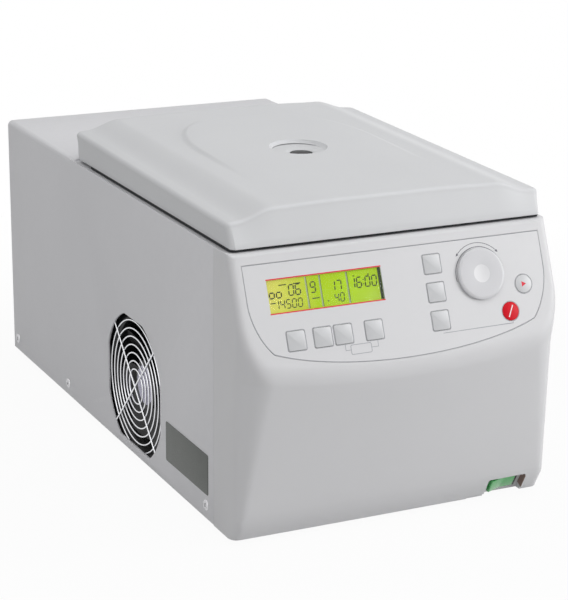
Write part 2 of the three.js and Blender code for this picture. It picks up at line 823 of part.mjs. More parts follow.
// The case seen from the front, with its two folded edges, drawn in by a distance.
function caseArch(drawnIn, low) {
  const side = halfWidth - drawnIn;
  const top = deckTop - drawnIn;
  const bend = cover.bend - drawnIn;
  const outline = new THREE.Shape();
  outline.moveTo(-side, low);
  outline.lineTo(side, low);
  outline.lineTo(side, top - bend);
  outline.absarc(side - bend, top - bend, bend, 0, Math.PI / 2, false);
  outline.lineTo(-side + bend, top);
  outline.absarc(-side + bend, top - bend, bend, Math.PI / 2, Math.PI, false);
  return outline;
}

function makeCover() {
  const fromY = frontY + bezel.sideReach + seat;
  const deckFromY = lidRearY + lid.rearGap;
  const low = caseBottom + cover.lift;
  let shell = cut(
    prism("xz", caseArch(0, low), [deckFromY, rearY], 5),
    prism("xz", caseArch(sheet, low - overrun), [deckFromY - overrun, rearY + overrun], 5),
  );
  for (const side of [-1, 1]) {
    const faces = [side * halfWidth, side * (halfWidth - sheet)].sort((a, b) => a - b);
    shell = join(shell, block(faces, [fromY, deckFromY + overrun], [low, trayTop]));
  }
  const leftCut = [-halfWidth - overrun, -halfWidth + sheet + overrun];
  const hole = rod("x", fanHole.radius, leftCut, [frontY + fan.y, caseBottom + fan.z], 48).intersect(
    block(
      leftCut,
      [frontY + fan.y - fanHole.halfWidth, frontY + fan.y + fanHole.halfWidth],
      [caseBottom + fanHole.bottom, caseBottom + fanHole.top],
    ),
  );
  shell = cut(shell, hole);
  for (const column of [0, 1])
    for (let row = 0; row < cover.slotCount; row++) {
      const y = frontY + fan.y + (column - 0.5) * cover.columnPitch;
      const z = caseBottom + fan.z + (row - (cover.slotCount - 1) / 2) * cover.slotPitch;
      const slot = block(
        [halfWidth - sheet - overrun, halfWidth + overrun],
        [y - cover.slotLength / 2, y + cover.slotLength / 2],
        [z - cover.slotHeight / 2, z + cover.slotHeight / 2],
      );
      shell = cut(shell, slot);
    }
  add("case_cover", "sheetPaint", shell);
}

function makeBasePan() {
  const half = halfWidth - sheet - seat;
  const y = [frontY + bezel.sideReach + seat, rearWallY - sheet - seat];
  const tub = block([-half, half], y, [caseBottom, caseBottom + pan.flange]);
  const inside = block(
    [-half + sheet, half - sheet],
    [y[0] + sheet, y[1] - sheet],
    [caseBottom + sheet, caseBottom + pan.flange + overrun],
  );
  const fanReach = fan.size / 2 + pan.fanSpace;
  const fanNotch = block(
    [-halfWidth, -half + sheet + overrun],
    [frontY + fan.y - fanReach, frontY + fan.y + fanReach],
    [caseBottom + sheet, caseBottom + pan.flange + overrun],
  );
  add("base_pan", "blackSteel", cut(tub, inside, fanNotch));
}

function makeFeet() {
  const places = {
    foot_front_left: [-1, frontY + footing.endOffset],
    foot_front_right: [1, frontY + footing.endOffset],
    foot_rear_left: [-1, rearY - footing.endOffset],
    foot_rear_right: [1, rearY - footing.endOffset],
  };
  const profile = [
    [0, 0],
    [footing.neck, 0],
    [footing.radius, footHeight - seat - footing.edge],
    [footing.radius, footHeight - seat],
    [0, footHeight - seat],
  ];
  for (const [name, [side, y]] of Object.entries(places))
    add(name, "rubber", turned(profile, [side * (halfWidth - footing.fromSide), y], 12));
}

function makeRearPanel() {
  const y = [rearWallY - sheet, rearWallY];
  let panel = prism("xz", caseArch(sheet + seat, caseBottom + cover.lift), y, 5);
  const through = [y[0] - overrun, y[1] + overrun];
  for (let column = 0; column < rearVent.columns; column++)
    for (let row = 0; row < rearVent.rows; row++) {
      const x = rearVent.x + (column - (rearVent.columns - 1) / 2) * rearVent.columnPitch;
      const z = caseBottom + rearVent.z + (row - (rearVent.rows - 1) / 2) * rearVent.rowPitch;
      const slot = block([x - rearVent.slotLength / 2, x + rearVent.slotLength / 2], through, [
        z - rearVent.slotHeight / 2,
        z + rearVent.slotHeight / 2,
      ]);
      panel = cut(panel, slot);
    }
  const inletX = inlet.fromSide - halfWidth;
  const holeWidth = inlet.width + 2 * inlet.wall + 2 * seat;
  const holeHeight = inlet.height + 2 * inlet.wall + 2 * seat;
  panel = cut(
    panel,
    block(
      [inletX - holeWidth / 2, inletX + holeWidth / 2],
      through,
      [caseBottom + inlet.z - holeHeight / 2, caseBottom + inlet.z + holeHeight / 2],
    ),
  );
  add("rear_panel", "sheetPaint", panel);
}

function makeInlet() {
  const z = caseBottom + inlet.z;
  const middleX = inlet.fromSide - halfWidth;
  const faceY = rearWallY + seat + inlet.flangeThick;
  const backY = faceY - inlet.depth - inlet.wall;
  const bodyHalf = [inlet.width / 2 + inlet.wall, inlet.height / 2 + inlet.wall];
  const body = block(
    [middleX - bodyHalf[0], middleX + bodyHalf[0]],
    [backY, faceY],
    [z - bodyHalf[1], z + bodyHalf[1]],
  );
  const flangeWidth = 2 * (bodyHalf[0] + inlet.flange);
  const flangeHeight = 2 * (bodyHalf[1] + inlet.flangeAbove);
  const flange = prism(
    "xz",
    roundedRectangle(middleX, z, flangeWidth, flangeHeight, inlet.wall),
    [rearWallY + seat, faceY],
    3,
  );
  const cavity = block(
    [middleX - inlet.width / 2, middleX + inlet.width / 2],
    [faceY - inlet.depth, faceY + overrun],
    [z - inlet.height / 2, z + inlet.height / 2],
  );
  let socket = cut(join(body, flange), cavity);
  for (const place of [-1, 0, 1]) {
    const x = middleX + place * inlet.pinSpread;
    socket = join(
      socket,
      block(
        [x - inlet.pinThick / 2, x + inlet.pinThick / 2],
        [faceY - inlet.depth - inlet.wall / 2, faceY - inlet.depth + inlet.pinLength],
        [z + inlet.pinLow, z + inlet.pinLow + inlet.pinHeight],
      ),
    );
  }
  add("mains_inlet", "darkPlastic", socket);
}

// Lid

function lidHeights(share) {
  return {
    edge: deckTop + lerp(lid.edgeFront, lid.edgeRear, share),
    plateau: deckTop + lerp(lid.plateauFront, lid.plateauRear, share),
  };
}

const aboveLid = deckTop + 2 * lid.plateauRear;

// Cross-section of the lid at a share of its depth, drawn in by a wall.
function lidRing(share, drawnIn, lowZ) {
  const { edge, plateau } = lidHeights(share);
  const y = frontY + share * lid.depth;
  const side = lidHalf - drawnIn;
  const edgeZ = edge - drawnIn;
  const topZ = plateau - drawnIn;
  const coveRise = topZ - edgeZ - lid.edgeRound;
  const halfProfile = [
    [side, lowZ],
    [side, edgeZ - lid.edgeRound],
    [side - lid.edgeRound * quarterRoundShare, edgeZ - lid.edgeRound * quarterRoundShare],
    [side - lid.edgeRound, edgeZ],
    [coveFoot, edgeZ + lid.edgeRound],
  ];
  const coveShares = [0.3, 0.7, 1];
  for (const coveShare of coveShares) {
    const x = lerp(coveFoot, plateauHalf, coveShare);
    const rise = THREE.MathUtils.smoothstep(coveShare, 0, 1);
    halfProfile.push([x, edgeZ + lid.edgeRound + coveRise * rise]);
  }
  const right = halfProfile.map(([x, z]) => new THREE.Vector3(x, y, z));
  const left = halfProfile.map(([x, z]) => new THREE.Vector3(-x, y, z)).reverse();
  return [...right, ...left];
}

// Side view that leans the lid's front face back and rounds it into the top.
function lidSideView(drawnIn, lowZ) {
  const front = frontY + drawnIn;
  const back = lidRearY - drawnIn;
  const { plateau } = lidHeights(0);
  const top = plateau - drawnIn;
  const round = lid.frontRound;
  const outline = new THREE.Shape();
  outline.moveTo(back, lowZ);
  outline.lineTo(back, aboveLid);
  outline.lineTo(front + lid.frontLean + 2 * round, aboveLid);
  outline.lineTo(front + lid.frontLean + round, top);
  const leanY = front + lid.frontLean * lid.frontLeanShare;
  outline.quadraticCurveTo(front + lid.frontLean, top, leanY, top - round);
  outline.lineTo(front, lowZ);
  return outline;
}

function lidBody(drawnIn, lowZ) {
  const rings = [0, 1].map((share) => lidRing(share, drawnIn, lowZ));
  const sections = loft(rings, flatCap(rings[0], ["x", "z"]));
  const sideView = prism("yz", lidSideView(drawnIn, lowZ), [-caseWidth, caseWidth], 5);
  const plan = roundedRectangle(
    0,
    (frontY + lidRearY) / 2,
    2 * (lidHalf - drawnIn),
    lid.depth - 2 * drawnIn,
    lid.planRadius - drawnIn / 2,
  );
  return sections.intersect(sideView).intersect(prism("xy", plan, [lowZ, aboveLid], 3));
}

// A low platform that grows out of the raised middle towards the rear.
function platformSolid() {
  const { front, waist, shoulder, heel, rear } = platform;
  const stations = [front, waist, shoulder, heel, rear];
  const side = stations.map(({ inset, ahead }) => [plateauHalf - inset, lidRearY - ahead]);
  const outline = polygon([...side, ...side.map(([x, y]) => [-x, y]).reverse()]);
  const plateauAt = (ahead) => lidHeights(1 - ahead / lid.depth).plateau;
  const top = polygon([
    [lidRearY - front.ahead, plateauAt(front.ahead) - lid.wall / 2],
    [lidRearY - rear.ahead, plateauAt(rear.ahead) - lid.wall / 2],
    [lidRearY - rear.ahead, plateauAt(rear.ahead) + platform.rise],
    [lidRearY - front.ahead, plateauAt(front.ahead)],
  ]);
  return prism("xy", outline, [deckTop, aboveLid]).intersect(
    prism("yz", top, [-halfWidth, halfWidth]),
  );
}

const portY = frontY + chamber.y;
const bowlOuter = chamberRadius + chamber.wall;
const flangeOuter = bowlOuter + chamber.flange;
const sealInner = flangeOuter + seal.gapToFlange;
const dishFloor = lidHeights((chamber.y - dish.radius) / lid.depth).plateau - dish.drop;

function makeLidCover() {
  const outer = join(lidBody(0, lidRim), platformSolid());
  const inner = lidBody(lid.wall, lidRim - overrun);
  const dishCut = rod("z", dish.radius, [dishFloor, aboveLid], [0, portY + dish.offset], 28);
  const portCut = rod("z", windowPort.radius + seat, [deckTop, dishFloor + overrun], [0, portY], 24);
  const headCut = rod(
    "z",
    windowPort.head + seat,
    [dishFloor - windowPort.headThick - seat, dishFloor + overrun],
    [0, portY],
    24,
  );
  const boss = turned(
    [
      [0, dishFloor - windowPort.headThick - 2 * lid.wall],
      [windowPort.head + 2 * lid.wall, dishFloor - windowPort.headThick - 2 * lid.wall],
      [dish.radius + 2 * lid.wall, dishFloor],
      [0, dishFloor],
    ],
    [0, portY + dish.offset / 2],
    20,
  );
  add("lid_cover", "shell", cut(join(cut(outer, inner), boss), dishCut, portCut, headCut));
}

function makeLidLiner() {
  const low = lidRim + liner.lift;
  const high = low + liner.thick;
  const drawnIn = lid.wall + liner.clearance;
  const half = lidHalf - drawnIn;
  const y = [frontY + liner.start, lidRearY - liner.rearInset];
  const cornerCut = roundedRectangle(0, (y[0] + y[1]) / 2, 2 * half, y[1] - y[0], lid.planRadius);
  let plate = prism("xy", cornerCut, [low, high], 4);
  const landInner = sealInner - liner.landInside;
  const landOuter = sealInner + seal.width + liner.landOutside;
  const land = turned(
    [
      [landInner, low + liner.thick / 2],
      [landInner, low - liner.land],
      [landOuter, low - liner.land],
      [landOuter, low + liner.thick / 2],
      [landInner, low + liner.thick / 2],
    ],
    [0, portY],
    24,
  );
  plate = join(plate, land);
  plate = cut(plate, rod("z", windowPort.radius + seat, [low - overrun, high + overrun], [0, portY], 24));
  add("lid_liner", "darkPlastic", plate);
}

function makeLidWindow() {
  const low = lidRim + liner.lift;
  const headLow = dishFloor - windowPort.headThick;
  add(
    "lid_window",
    "smokedGlass",
    turned(
      [
        [0, low],
        [windowPort.radius, low],
        [windowPort.radius, headLow],
        [windowPort.head, headLow],
        [windowPort.head, dishFloor],
        [0, dishFloor],
      ],
      [0, portY],
      24,
    ),
  );
}

// Hinge

const hingeY = lidRearY + hinge.behind;
const hingeZ = deckTop - hinge.below;
const armX = halfWidth - hinge.armFromSide;

function makeHinge() {
  const linerTop = lidRim + liner.lift + liner.thick;
  const armTop = linerTop + seat + hinge.armWidth / 2 - hingeZ;
  const neck = [
    [-hinge.armReach, armTop],
    ...neckUpperShares.map(([along, drop]) => [-hinge.slotFront * along, armTop - hinge.armWidth * drop]),
    ...neckLowerShares.map(([along, drop]) => [-hinge.slotFront * along, -hinge.armWidth * drop]),
    [-hinge.eye * eyeShares[0], -hinge.eye * eyeShares[1]],
    [0, 0],
  ].map(([along, up]) => [hingeY + along, hingeZ + up]);
  for (const [side, name] of [[-1, "left"], [1, "right"]]) {
    const x = side * armX;
    const span = [x - hinge.armThick / 2, x + hinge.armThick / 2];
    const eye = rod("x", hinge.eye, span, [hingeY, hingeZ], 12);
    const arm = join(prism("yz", ribbon(neck, hinge.armWidth), span), eye);
    const bore = rod("x", hinge.pin + seat, [x - hinge.armThick, x + hinge.armThick], [hingeY, hingeZ], 12);
    add("hinge_arm_" + name, "darkAlloy", cut(arm, bore));
    addHingeBracket(x, name);
  }
  const end = armX + hinge.shaftEnd;
  add("hinge_shaft", "stainless", rod("x", hinge.pin, [-end, end], [hingeY, hingeZ], 12));
}

// Two ears under a plate that is fixed below the rear deck.
function addHingeBracket(x, name) {
  const inner = hinge.armThick / 2 + hinge.earGap;
  const outer = inner + hinge.ear;
  const plateTop = deckTop - sheet - seat;
  const plateY = [hingeY - hinge.eye, hingeY + hinge.plateRear];
  let bracket = block([x - outer, x + outer], plateY, [plateTop - hinge.ear, plateTop]);
  for (const side of [-1, 1]) {
    const span = [x + side * inner, x + side * outer].sort((a, b) => a - b);
    const ear = join(
      block(span, [hingeY - hinge.eye, hingeY + hinge.eye], [hingeZ, plateTop]),
      rod("x", hinge.eye, span, [hingeY, hingeZ], 12),
    );
    bracket = join(bracket, ear);
  }
  const bore = rod("x", hinge.pin + seat, [x - outer - overrun, x + outer + overrun], [hingeY, hingeZ], 12);
  add("hinge_bracket_" + name, "stainless", cut(bracket, bore));
}

// Lid lock

const lockX = halfWidth - lock.fromSide;
const lockY = frontY + lock.y;
const boltZ = trayTop - lock.boltBelow;

function makeLock() {
  const linerLow = lidRim + liner.lift;
  for (const [side, name] of [[-1, "left"], [1, "right"]]) {
    const x = side * lockX;
    const span = [x - lock.strikerThick / 2, x + lock.strikerThick / 2];
    const plate = block(span, [lockY - lock.strikerWidth / 2, lockY + lock.strikerWidth / 2], [
      trayTop - lock.drop,
      linerLow - seat,
    ]);
    const foot = block(
      [x - lock.footWidth / 2, x + lock.footWidth / 2],
      [lockY - lock.strikerWidth / 2, lockY + lock.strikerWidth / 2],
      [linerLow - seat - lock.footThick, linerLow - seat],
    );
    const halfWindow = lock.strikerWindow / 2;
    const boltWindow = block(
      [x - lock.strikerThick, x + lock.strikerThick],
      [lockY - halfWindow, lockY + halfWindow],
      [boltZ - halfWindow, boltZ + halfWindow],
    );
    add("lid_striker_" + name, "stainless", cut(join(plate, foot), boltWindow));

    const boltTip = lockX - lock.strikerThick / 2 - lock.boltGap;
    const boltEnds = [side * (boltTip - lock.boltLength), side * boltTip].sort((a, b) => a - b);
    add("lock_bolt_" + name, "stainless", rod("x", lock.boltRadius, boltEnds, [lockY, boltZ], 16));

    const unitTip = boltTip - lock.boltGap;
    const unitX = [side * (unitTip - lock.unitLength), side * unitTip].sort((a, b) => a - b);
    const unit = block(unitX, [lockY - lock.unitWidth / 2, lockY + lock.unitWidth / 2], [
      trayTop - tray.thick - seat - lock.unitHeight,
      trayTop - tray.thick - seat,
    ]);
    const channel = rod("x", lock.boltRadius + seat, [-halfWidth, halfWidth], [lockY, boltZ], 16);
    add("lock_unit_" + name, "darkPlastic", cut(unit, channel));
  }
}

// Tray, chamber and drive

const bowlBottom = trayTop - chamber.depth;

function makeTray() {
  const half = halfWidth - sheet - seat;
  const y = [frontY + bezel.sideReach + seat, lidRearY + lid.rearGap - seat];
  let plate = block([-half, half], y, [trayTop - tray.thick, trayTop]);
  const through = [trayTop - tray.thick - overrun, trayTop + overrun];
  plate = cut(plate, rod("z", bowlOuter + chamber.trayClearance, through, [0, portY], 48));
  for (const side of [-1, 1]) {
    const strikerX = side * lockX;
    const lockSlot = block(
      [strikerX - tray.slotWidth / 2, strikerX + tray.slotWidth / 2],
      [lockY - tray.slotLength / 2, lockY + tray.slotLength / 2],
      through,
    );
    const slotX = side * armX;
    const armSlot = block(
      [slotX - tray.slotWidth / 2, slotX + tray.slotWidth / 2],
      [hingeY - hinge.slotFront, y[1] + overrun],
      through,
    );
    plate = cut(plate, lockSlot, armSlot);
  }
  add("top_tray", "sheetPaint", plate);
}

function makeBowl() {
  const corner = chamber.cornerRadius;
  const arc = (radius, cornerR, bottom) => {
    const steps = 2;
    const points = [];
    for (let i = 0; i <= steps; i++) {
      const angle = (i / steps) * (Math.PI / 2);
      points.push([
        radius - cornerR + cornerR * Math.sin(angle),
        bottom + cornerR - cornerR * Math.cos(angle),
      ]);
    }
    return points;
  };
  const flangeLow = trayTop + seat;
  const outside = arc(bowlOuter, corner + chamber.wall, bowlBottom);
  const inside = arc(chamberRadius, corner, bowlBottom + chamber.wall).reverse();
  add(
    "chamber_bowl",
    "stainless",
    turned(
      [
        [chamber.shaftHole, bowlBottom],
        ...outside,
        [bowlOuter, flangeLow],
        [flangeOuter, flangeLow],
        [flangeOuter, flangeLow + chamber.wall],
        [chamberRadius, flangeLow + chamber.wall],
        ...inside,
        [chamber.shaftHole, bowlBottom + chamber.wall],
        [chamber.shaftHole, bowlBottom],
      ],
      [0, portY],
      24,
    ),
  );
}

function makeSeal() {
  const inner = sealInner;
  const outer = inner + seal.width;
  const low = trayTop + seat;
  const top = lidRim + liner.lift - liner.land - seat;
  const base = low + seal.base;
  const steps = 3;
  const crown = [];
  for (let i = 0; i <= steps; i++) {
    const angle = (i / steps) * Math.PI;
    crown.push([
      (inner + outer) / 2 + (seal.width / 2) * Math.cos(angle),
      base + (top - base) * Math.sin(angle),
    ]);
  }
  add("chamber_seal", "rubber", turned([[inner, low], [outer, low], ...crown, [inner, low]], [0, portY], 24));
}

const coilInner = bowlOuter + coil.clearance;
const foamInner = coilInner + 2 * coil.tube + coil.clearance;

function makeFoam() {
  const outer = foamInner + foam.wall;
  const low = bowlBottom - foam.floor;
  const high = trayTop - tray.thick - seat;
  add(
    "chamber_foam",
    "foamGrey",
    turned(
      [
        [foam.shaftHole, low],
        [outer, low],
        [outer, high],
        [foamInner, high],
        [foamInner, bowlBottom - seat],
        [foam.shaftHole, bowlBottom - seat],
        [foam.shaftHole, low],
      ],
      [0, portY],
      24,
    ),
  );
}

// The cooling pipe wound round the bowl, one unbroken helix.
class Helix extends THREE.Curve {
  constructor(radius, low, pitch, turns) {
    super();
    Object.assign(this, { radius, low, pitch, turns });
  }
  getPoint(share, target = new THREE.Vector3()) {
    const angle = share * this.turns * 2 * Math.PI;
    return target.set(
      this.radius * Math.cos(angle),
      this.radius * Math.sin(angle),
      this.low + this.pitch * this.turns * share,
    );
  }
}

function makeCoil() {
  const path = new Helix(coilInner + coil.tube, bowlBottom + coil.start, coil.pitch, coil.turns);
  const section = new THREE.Shape();
  section.absarc(0, 0, coil.tube, 0, 2 * Math.PI, false);
  const geometry = new THREE.ExtrudeGeometry(section, {
    steps: coil.turns * 24,
    extrudePath: path,
    curveSegments: 2,
  });
  geometry.translate(0, portY, 0);
  add("evaporator_coil", "copper", solidFrom(geometry));
}

const plateLow = caseBottom + sheet + 2 * seat + damper.height;
const motorLow = plateLow + motorPlate.thick + seat;
const motorTop = motorLow + motor.height;

function makeDrive() {
  for (let i = 0; i < 3; i++) {
    const angle = Math.PI / 2 + (i * 2 * Math.PI) / 3;
    const centre = [damper.circle * Math.cos(angle), portY + damper.circle * Math.sin(angle)];
    const low = caseBottom + sheet + seat;
    const profile = [
      [0, low],
      [damper.radius, low],
      [damper.radius * damper.waistShare, low + damper.height / 2],
      [damper.radius, low + damper.height],
      [0, low + damper.height],
    ];
    add("motor_damper_" + (i + 1), "rubber", turned(profile, centre, 16));
  }
  const outline = roundedRectangle(0, portY, 2 * motorPlate.half, 2 * motorPlate.half, motorPlate.corner);
  add("motor_plate", "blackSteel", prism("xy", outline, [plateLow, plateLow + motorPlate.thick], 4));
  const hole = shaft.radius + seat;
  const profile = [
    [hole, motorLow + motor.flangeThick],
    [hole, motorTop],
    [motor.neckRadius, motorTop],
    [motor.neckRadius, motorTop - motor.neckHeight],
    [motor.radius, motorTop - motor.neckHeight],
    [motor.radius, motorLow + motor.flangeThick],
    [motor.flangeRadius, motorLow + motor.flangeThick],
    [motor.flangeRadius, motorLow],
    [0, motorLow],
    [0, motorLow + motor.flangeThick],
    [hole, motorLow + motor.flangeThick],
  ];
  add("drive_motor", "blackSteel", turned(profile, [0, portY], 16));
}

const rotorBase = bowlBottom + chamber.wall + rotor.lift;

function makeRotor() {
  const shaftTop = rotorBase + rotor.hubTop - seat;
  add(
    "rotor_shaft",
    "stainless",
    rod("z", shaft.radius, [motorLow + motor.flangeThick + seat, shaftTop], [0, portY], 16),
  );
  const hole = shaft.radius + seat;
  const profile = [
    [hole, 0],
    [rotorRadius * rotorShares.base, 0],
    [rotorRadius, rotor.coneHeight],
    [rotorRadius, rotor.waist],
    [rotorRadius * rotorShares.rimOuter, rotor.height],
    [rotorRadius * rotorShares.rimInner, rotor.height],
    [rotorRadius * rotorShares.floor, rotor.floor],
    [rotor.hubRadius, rotor.floor],
    [rotor.hubTopRadius, rotor.hubTop],
    [hole, rotor.hubTop],
    [hole, 0],
  ].map(([radius, height]) => [radius, rotorBase + height]);
  let body = turned(profile, [0, portY], 24);

  // Each tube bore leans out at 45 degrees and opens square to the conical face.
  const mouthRadius = (rotorRadius * (rotorShares.floor + rotorShares.rimInner)) / 2;
  const mouthHeight = rotorBase + (rotor.floor + rotor.height) / 2;
  for (let i = 0; i < rotor.bores; i++) {
    const bore = new THREE.CylinderGeometry(rotor.boreRadius, rotor.boreRadius, 2 * rotor.boreDepth, 6);
    bore.rotateZ(Math.PI / 4);
    const outward = new THREE.Matrix4().makeRotationZ((i * 2 * Math.PI) / rotor.bores);
    bore.rotateX(Math.PI / 2);
    bore.applyMatrix4(new THREE.Matrix4().makeTranslation(mouthRadius, 0, 0));
    bore.applyMatrix4(outward);
    bore.translate(0, portY, mouthHeight);
    body = cut(body, solidFrom(bore));
  }
  add("angle_rotor", "darkAlloy", body);
}

function makeRotorLid() {
  const low = rotorBase + rotor.height + seat;
  const profile = [
    [rotorLid.hole, low],
    [rotorRadius * rotorShares.lid, low],
    [rotorRadius * rotorShares.lid, low + rotorLid.thick],
    [rotorLid.hole, low + rotorLid.thick],
    [rotorLid.hole, low],
  ];
  add("rotor_lid", "alloy", turned(profile, [0, portY], 24));
  const nutLow = low + rotorLid.thick + seat;
  const stemLow = rotorBase + rotor.hubTop + seat;
  const nut = [
    [0, stemLow],
    [rotorNut.stem, stemLow],
    [rotorNut.stem, nutLow],
    [rotorNut.radius, nutLow],
    [rotorNut.waist, nutLow + rotorNut.height / 2],
    [rotorNut.radius, nutLow + rotorNut.height],
    [0, nutLow + rotorNut.height],
  ];
  add("rotor_lid_nut", "darkPlastic", turned(nut, [0, portY], 18));
}

// Fan behind the left wall

const wallInner = -halfWidth + sheet;
const guardX = wallInner + guard.setback + guard.wire;
const fanFront = guardX + guard.wire + seat;
const fanCentre = [frontY + fan.y, caseBottom + fan.z];

// A flat ring of wire round a point of the guard's plane.
function wireRing([y, z], radius, sides) {
  const outline = new THREE.Shape().absarc(y, z, radius + guard.wire, 0, 2 * Math.PI, false);
  outline.holes.push(new THREE.Path().absarc(y, z, radius - guard.wire, 0, 2 * Math.PI, true));
  return prism("yz", outline, [guardX - guard.wire, guardX + guard.wire], sides / 2);
}

// Wires welded flat on each other: round rings, two diagonals and an eyelet at each corner screw.
function makeGuard() {
  const [y, z] = fanCentre;
  const rings = [];
  for (let ring = 0; ring < guard.rings; ring++)
    rings.push(wireRing(fanCentre, guard.firstRing + ring * guard.ringPitch, guard.fewestSides + 2 * ring));
  const offset = fan.mountPitch / 2;
  for (const along of [-offset, offset])
    for (const up of [-offset, offset])
      rings.push(wireRing([y + along, z + up], guard.eyelet, guard.fewestSides));
  for (const turn of [-Math.PI / 4, Math.PI / 4]) {
    const bar = new THREE.BoxGeometry(2 * guard.wire, 2 * guard.reach, 2 * guard.wire);
    rings.push(solidFrom(bar.rotateX(turn).translate(guardX, y, z)));
  }
  add("fan_guard", "chrome", join(...rings));
}

function makeFanFrame() {
  const [y, z] = fanCentre;
  const back = fanFront + fan.depth;
  const outline = roundedRectangle(y, z, fan.size, fan.size, fan.cornerRadius);
  let frame = prism("yz", outline, [fanFront, back], 4);
  frame = cut(frame, rod("x", fan.bore, [fanFront - overrun, back + overrun], [y, z], 28));
  for (const up of [-1, 1])
    for (const along of [-1, 1])
      frame = cut(
        frame,
        rod("x", fan.mountHole, [fanFront - overrun, back + overrun], [
          y + (along * fan.mountPitch) / 2,
          z + (up * fan.mountPitch) / 2,
        ], 6),
      );
  // The hub plate at the back hangs on four struts.
  frame = join(frame, rod("x", fan.hub, [back - fan.strut, back], [y, z], 16));
  for (const turn of [0, 1, 2, 3]) {
    const strut = new THREE.BoxGeometry(fan.strut, fan.bore, fan.strutWidth);
    strut.translate(0, fan.bore / 2, 0);
    strut.rotateX((turn * Math.PI) / 2).translate(back - fan.strut / 2, y, z);
    frame = join(frame, solidFrom(strut));
  }
  add("fan_frame", "darkPlastic", frame);
}

// One curved, twisted blade: flat at its root, swept round towards its tip.
function bladeSolid(turn) {
  const [y, z] = fanCentre;
  const front = fanFront + fan.frontSpace;
  const back = fanFront + fan.depth - fan.strut - seat * 2;
  const sections = 2;
  const chordSteps = 2;
  const rings = [];
  for (let i = 0; i <= sections; i++) {
    const share = i / sections;
    const radius = lerp(fan.hub - fan.bladeThick, fan.bladeTip, share);
    const spread = lerp(bladeShares.rootSpread, 1, share) * (fan.bladeChord / radius);
    const sweep = turn + THREE.MathUtils.degToRad(fan.bladeSweepDegrees) * share * share;
    const side = (offset) => {
      const line = [];
      for (let step = 0; step <= chordSteps; step++) {
        const along = step / chordSteps;
        const camber = Math.sin(along * Math.PI) * bladeShares.camber * (back - front);
        const x = lerp(front, back - fan.bladeThick, along) + camber + offset;
        const angle = sweep + (along - 0.5) * spread;
        line.push(new THREE.Vector3(x, y + radius * Math.cos(angle), z + radius * Math.sin(angle)));
      }
      return line;
    };
    rings.push([...side(0), ...side(fan.bladeThick).reverse()]);
  }
  const caps = [];
  for (let i = 0; i < chordSteps; i++) {
    const [a, b, c, d] = [i, i + 1, 2 * chordSteps - i, 2 * chordSteps + 1 - i];
    caps.push([a, b, c], [a, c, d]);
  }
  return loft(rings, caps);
}

function makeImpeller() {
  const [y, z] = fanCentre;
  const front = fanFront + fan.frontSpace - seat * 2;
  const back = fanFront + fan.depth - fan.strut - seat;
  let impeller = rod("x", fan.hub, [front, back], [y, z], 20);
  for (let blade = 0; blade < fan.bladeCount; blade++)
    impeller = join(impeller, bladeSolid((blade * 2 * Math.PI) / fan.bladeCount));
  add("fan_impeller", "darkPlastic", impeller);
}

// Cooling

function makeCondenser() {
  const [y] = fanCentre;
  const front = fanFront + fan.depth + condenser.behind;
  const back = front + condenser.finDepth;
  const low = caseBottom + sheet + seat;
  const high = low + condenser.height;
  const spanY = [y - condenser.width / 2, y + condenser.width / 2];
  const coreX = (front + back - condenser.core) / 2;
  let core = block([coreX, coreX + condenser.core], spanY, [low, high]);
  const pitch = (condenser.width - condenser.finThick) / (condenser.fins - 1);
  for (let fin = 0; fin < condenser.fins; fin++) {
    const finY = spanY[0] + fin * pitch;
    core = join(core, block([front, back], [finY, finY + condenser.finThick], [low, high]));
  }
  add("condenser", "alloy", core);
}

function makeCompressor() {
  const low = caseBottom + sheet + seat;
  const top = low + compressor.height;
  const profile = [
    [0, low],
    [compressor.foot, low],
    [compressor.foot, low + compressor.footThick],
    [compressor.radius, low + compressor.footThick],
    ...domeShares.map(([out, down]) => [compressor.radius * out, top - compressor.dome * down]),
    [compressor.neck, top],
    [0, top],
  ];
  add("compressor", "blackSteel", turned(profile, [compressor.x, rearY - compressor.fromRear], 20));
}

makeBezel();
makeFilm();
makeKeys();
makeDial();
makeDisplay();
makeControlBoard();
makeMainsSwitch();
makeCover();
makeBasePan();
makeFeet();
makeRearPanel();
makeInlet();
makeLidCover();
makeLidLiner();
makeLidWindow();
makeHinge();
makeLock();
makeTray();
makeBowl();
makeSeal();
makeFoam();
makeCoil();
makeDrive();
makeRotor();
makeRotorLid();
makeGuard();
makeFanFrame();
makeImpeller();
makeCondenser();
makeCompressor();

export default machine;
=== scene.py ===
import json
import math

import bmesh
import bpy
import numpy as np
from mathutils import Matrix, Vector


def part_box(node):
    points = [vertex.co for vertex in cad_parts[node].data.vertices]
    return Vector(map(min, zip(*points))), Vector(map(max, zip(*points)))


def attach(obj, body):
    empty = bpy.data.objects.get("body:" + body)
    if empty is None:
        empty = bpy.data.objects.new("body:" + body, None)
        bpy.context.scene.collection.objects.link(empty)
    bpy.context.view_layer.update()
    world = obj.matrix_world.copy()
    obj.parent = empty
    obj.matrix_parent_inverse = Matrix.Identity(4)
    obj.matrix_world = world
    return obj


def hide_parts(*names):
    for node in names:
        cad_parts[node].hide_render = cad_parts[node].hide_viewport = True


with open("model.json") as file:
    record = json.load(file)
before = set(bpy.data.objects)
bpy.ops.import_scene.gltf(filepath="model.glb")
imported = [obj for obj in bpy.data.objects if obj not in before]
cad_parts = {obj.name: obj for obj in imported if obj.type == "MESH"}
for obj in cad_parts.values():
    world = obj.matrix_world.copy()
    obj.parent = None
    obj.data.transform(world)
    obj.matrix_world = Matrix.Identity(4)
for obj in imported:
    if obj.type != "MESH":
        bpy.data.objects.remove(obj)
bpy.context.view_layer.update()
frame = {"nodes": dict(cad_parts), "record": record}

# Sizes below are millimetres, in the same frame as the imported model; meshes are made in metres.
mm = 0.001
scene = bpy.context.scene


def boxMm(node):
    low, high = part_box(node)
    return low / mm, high / mm


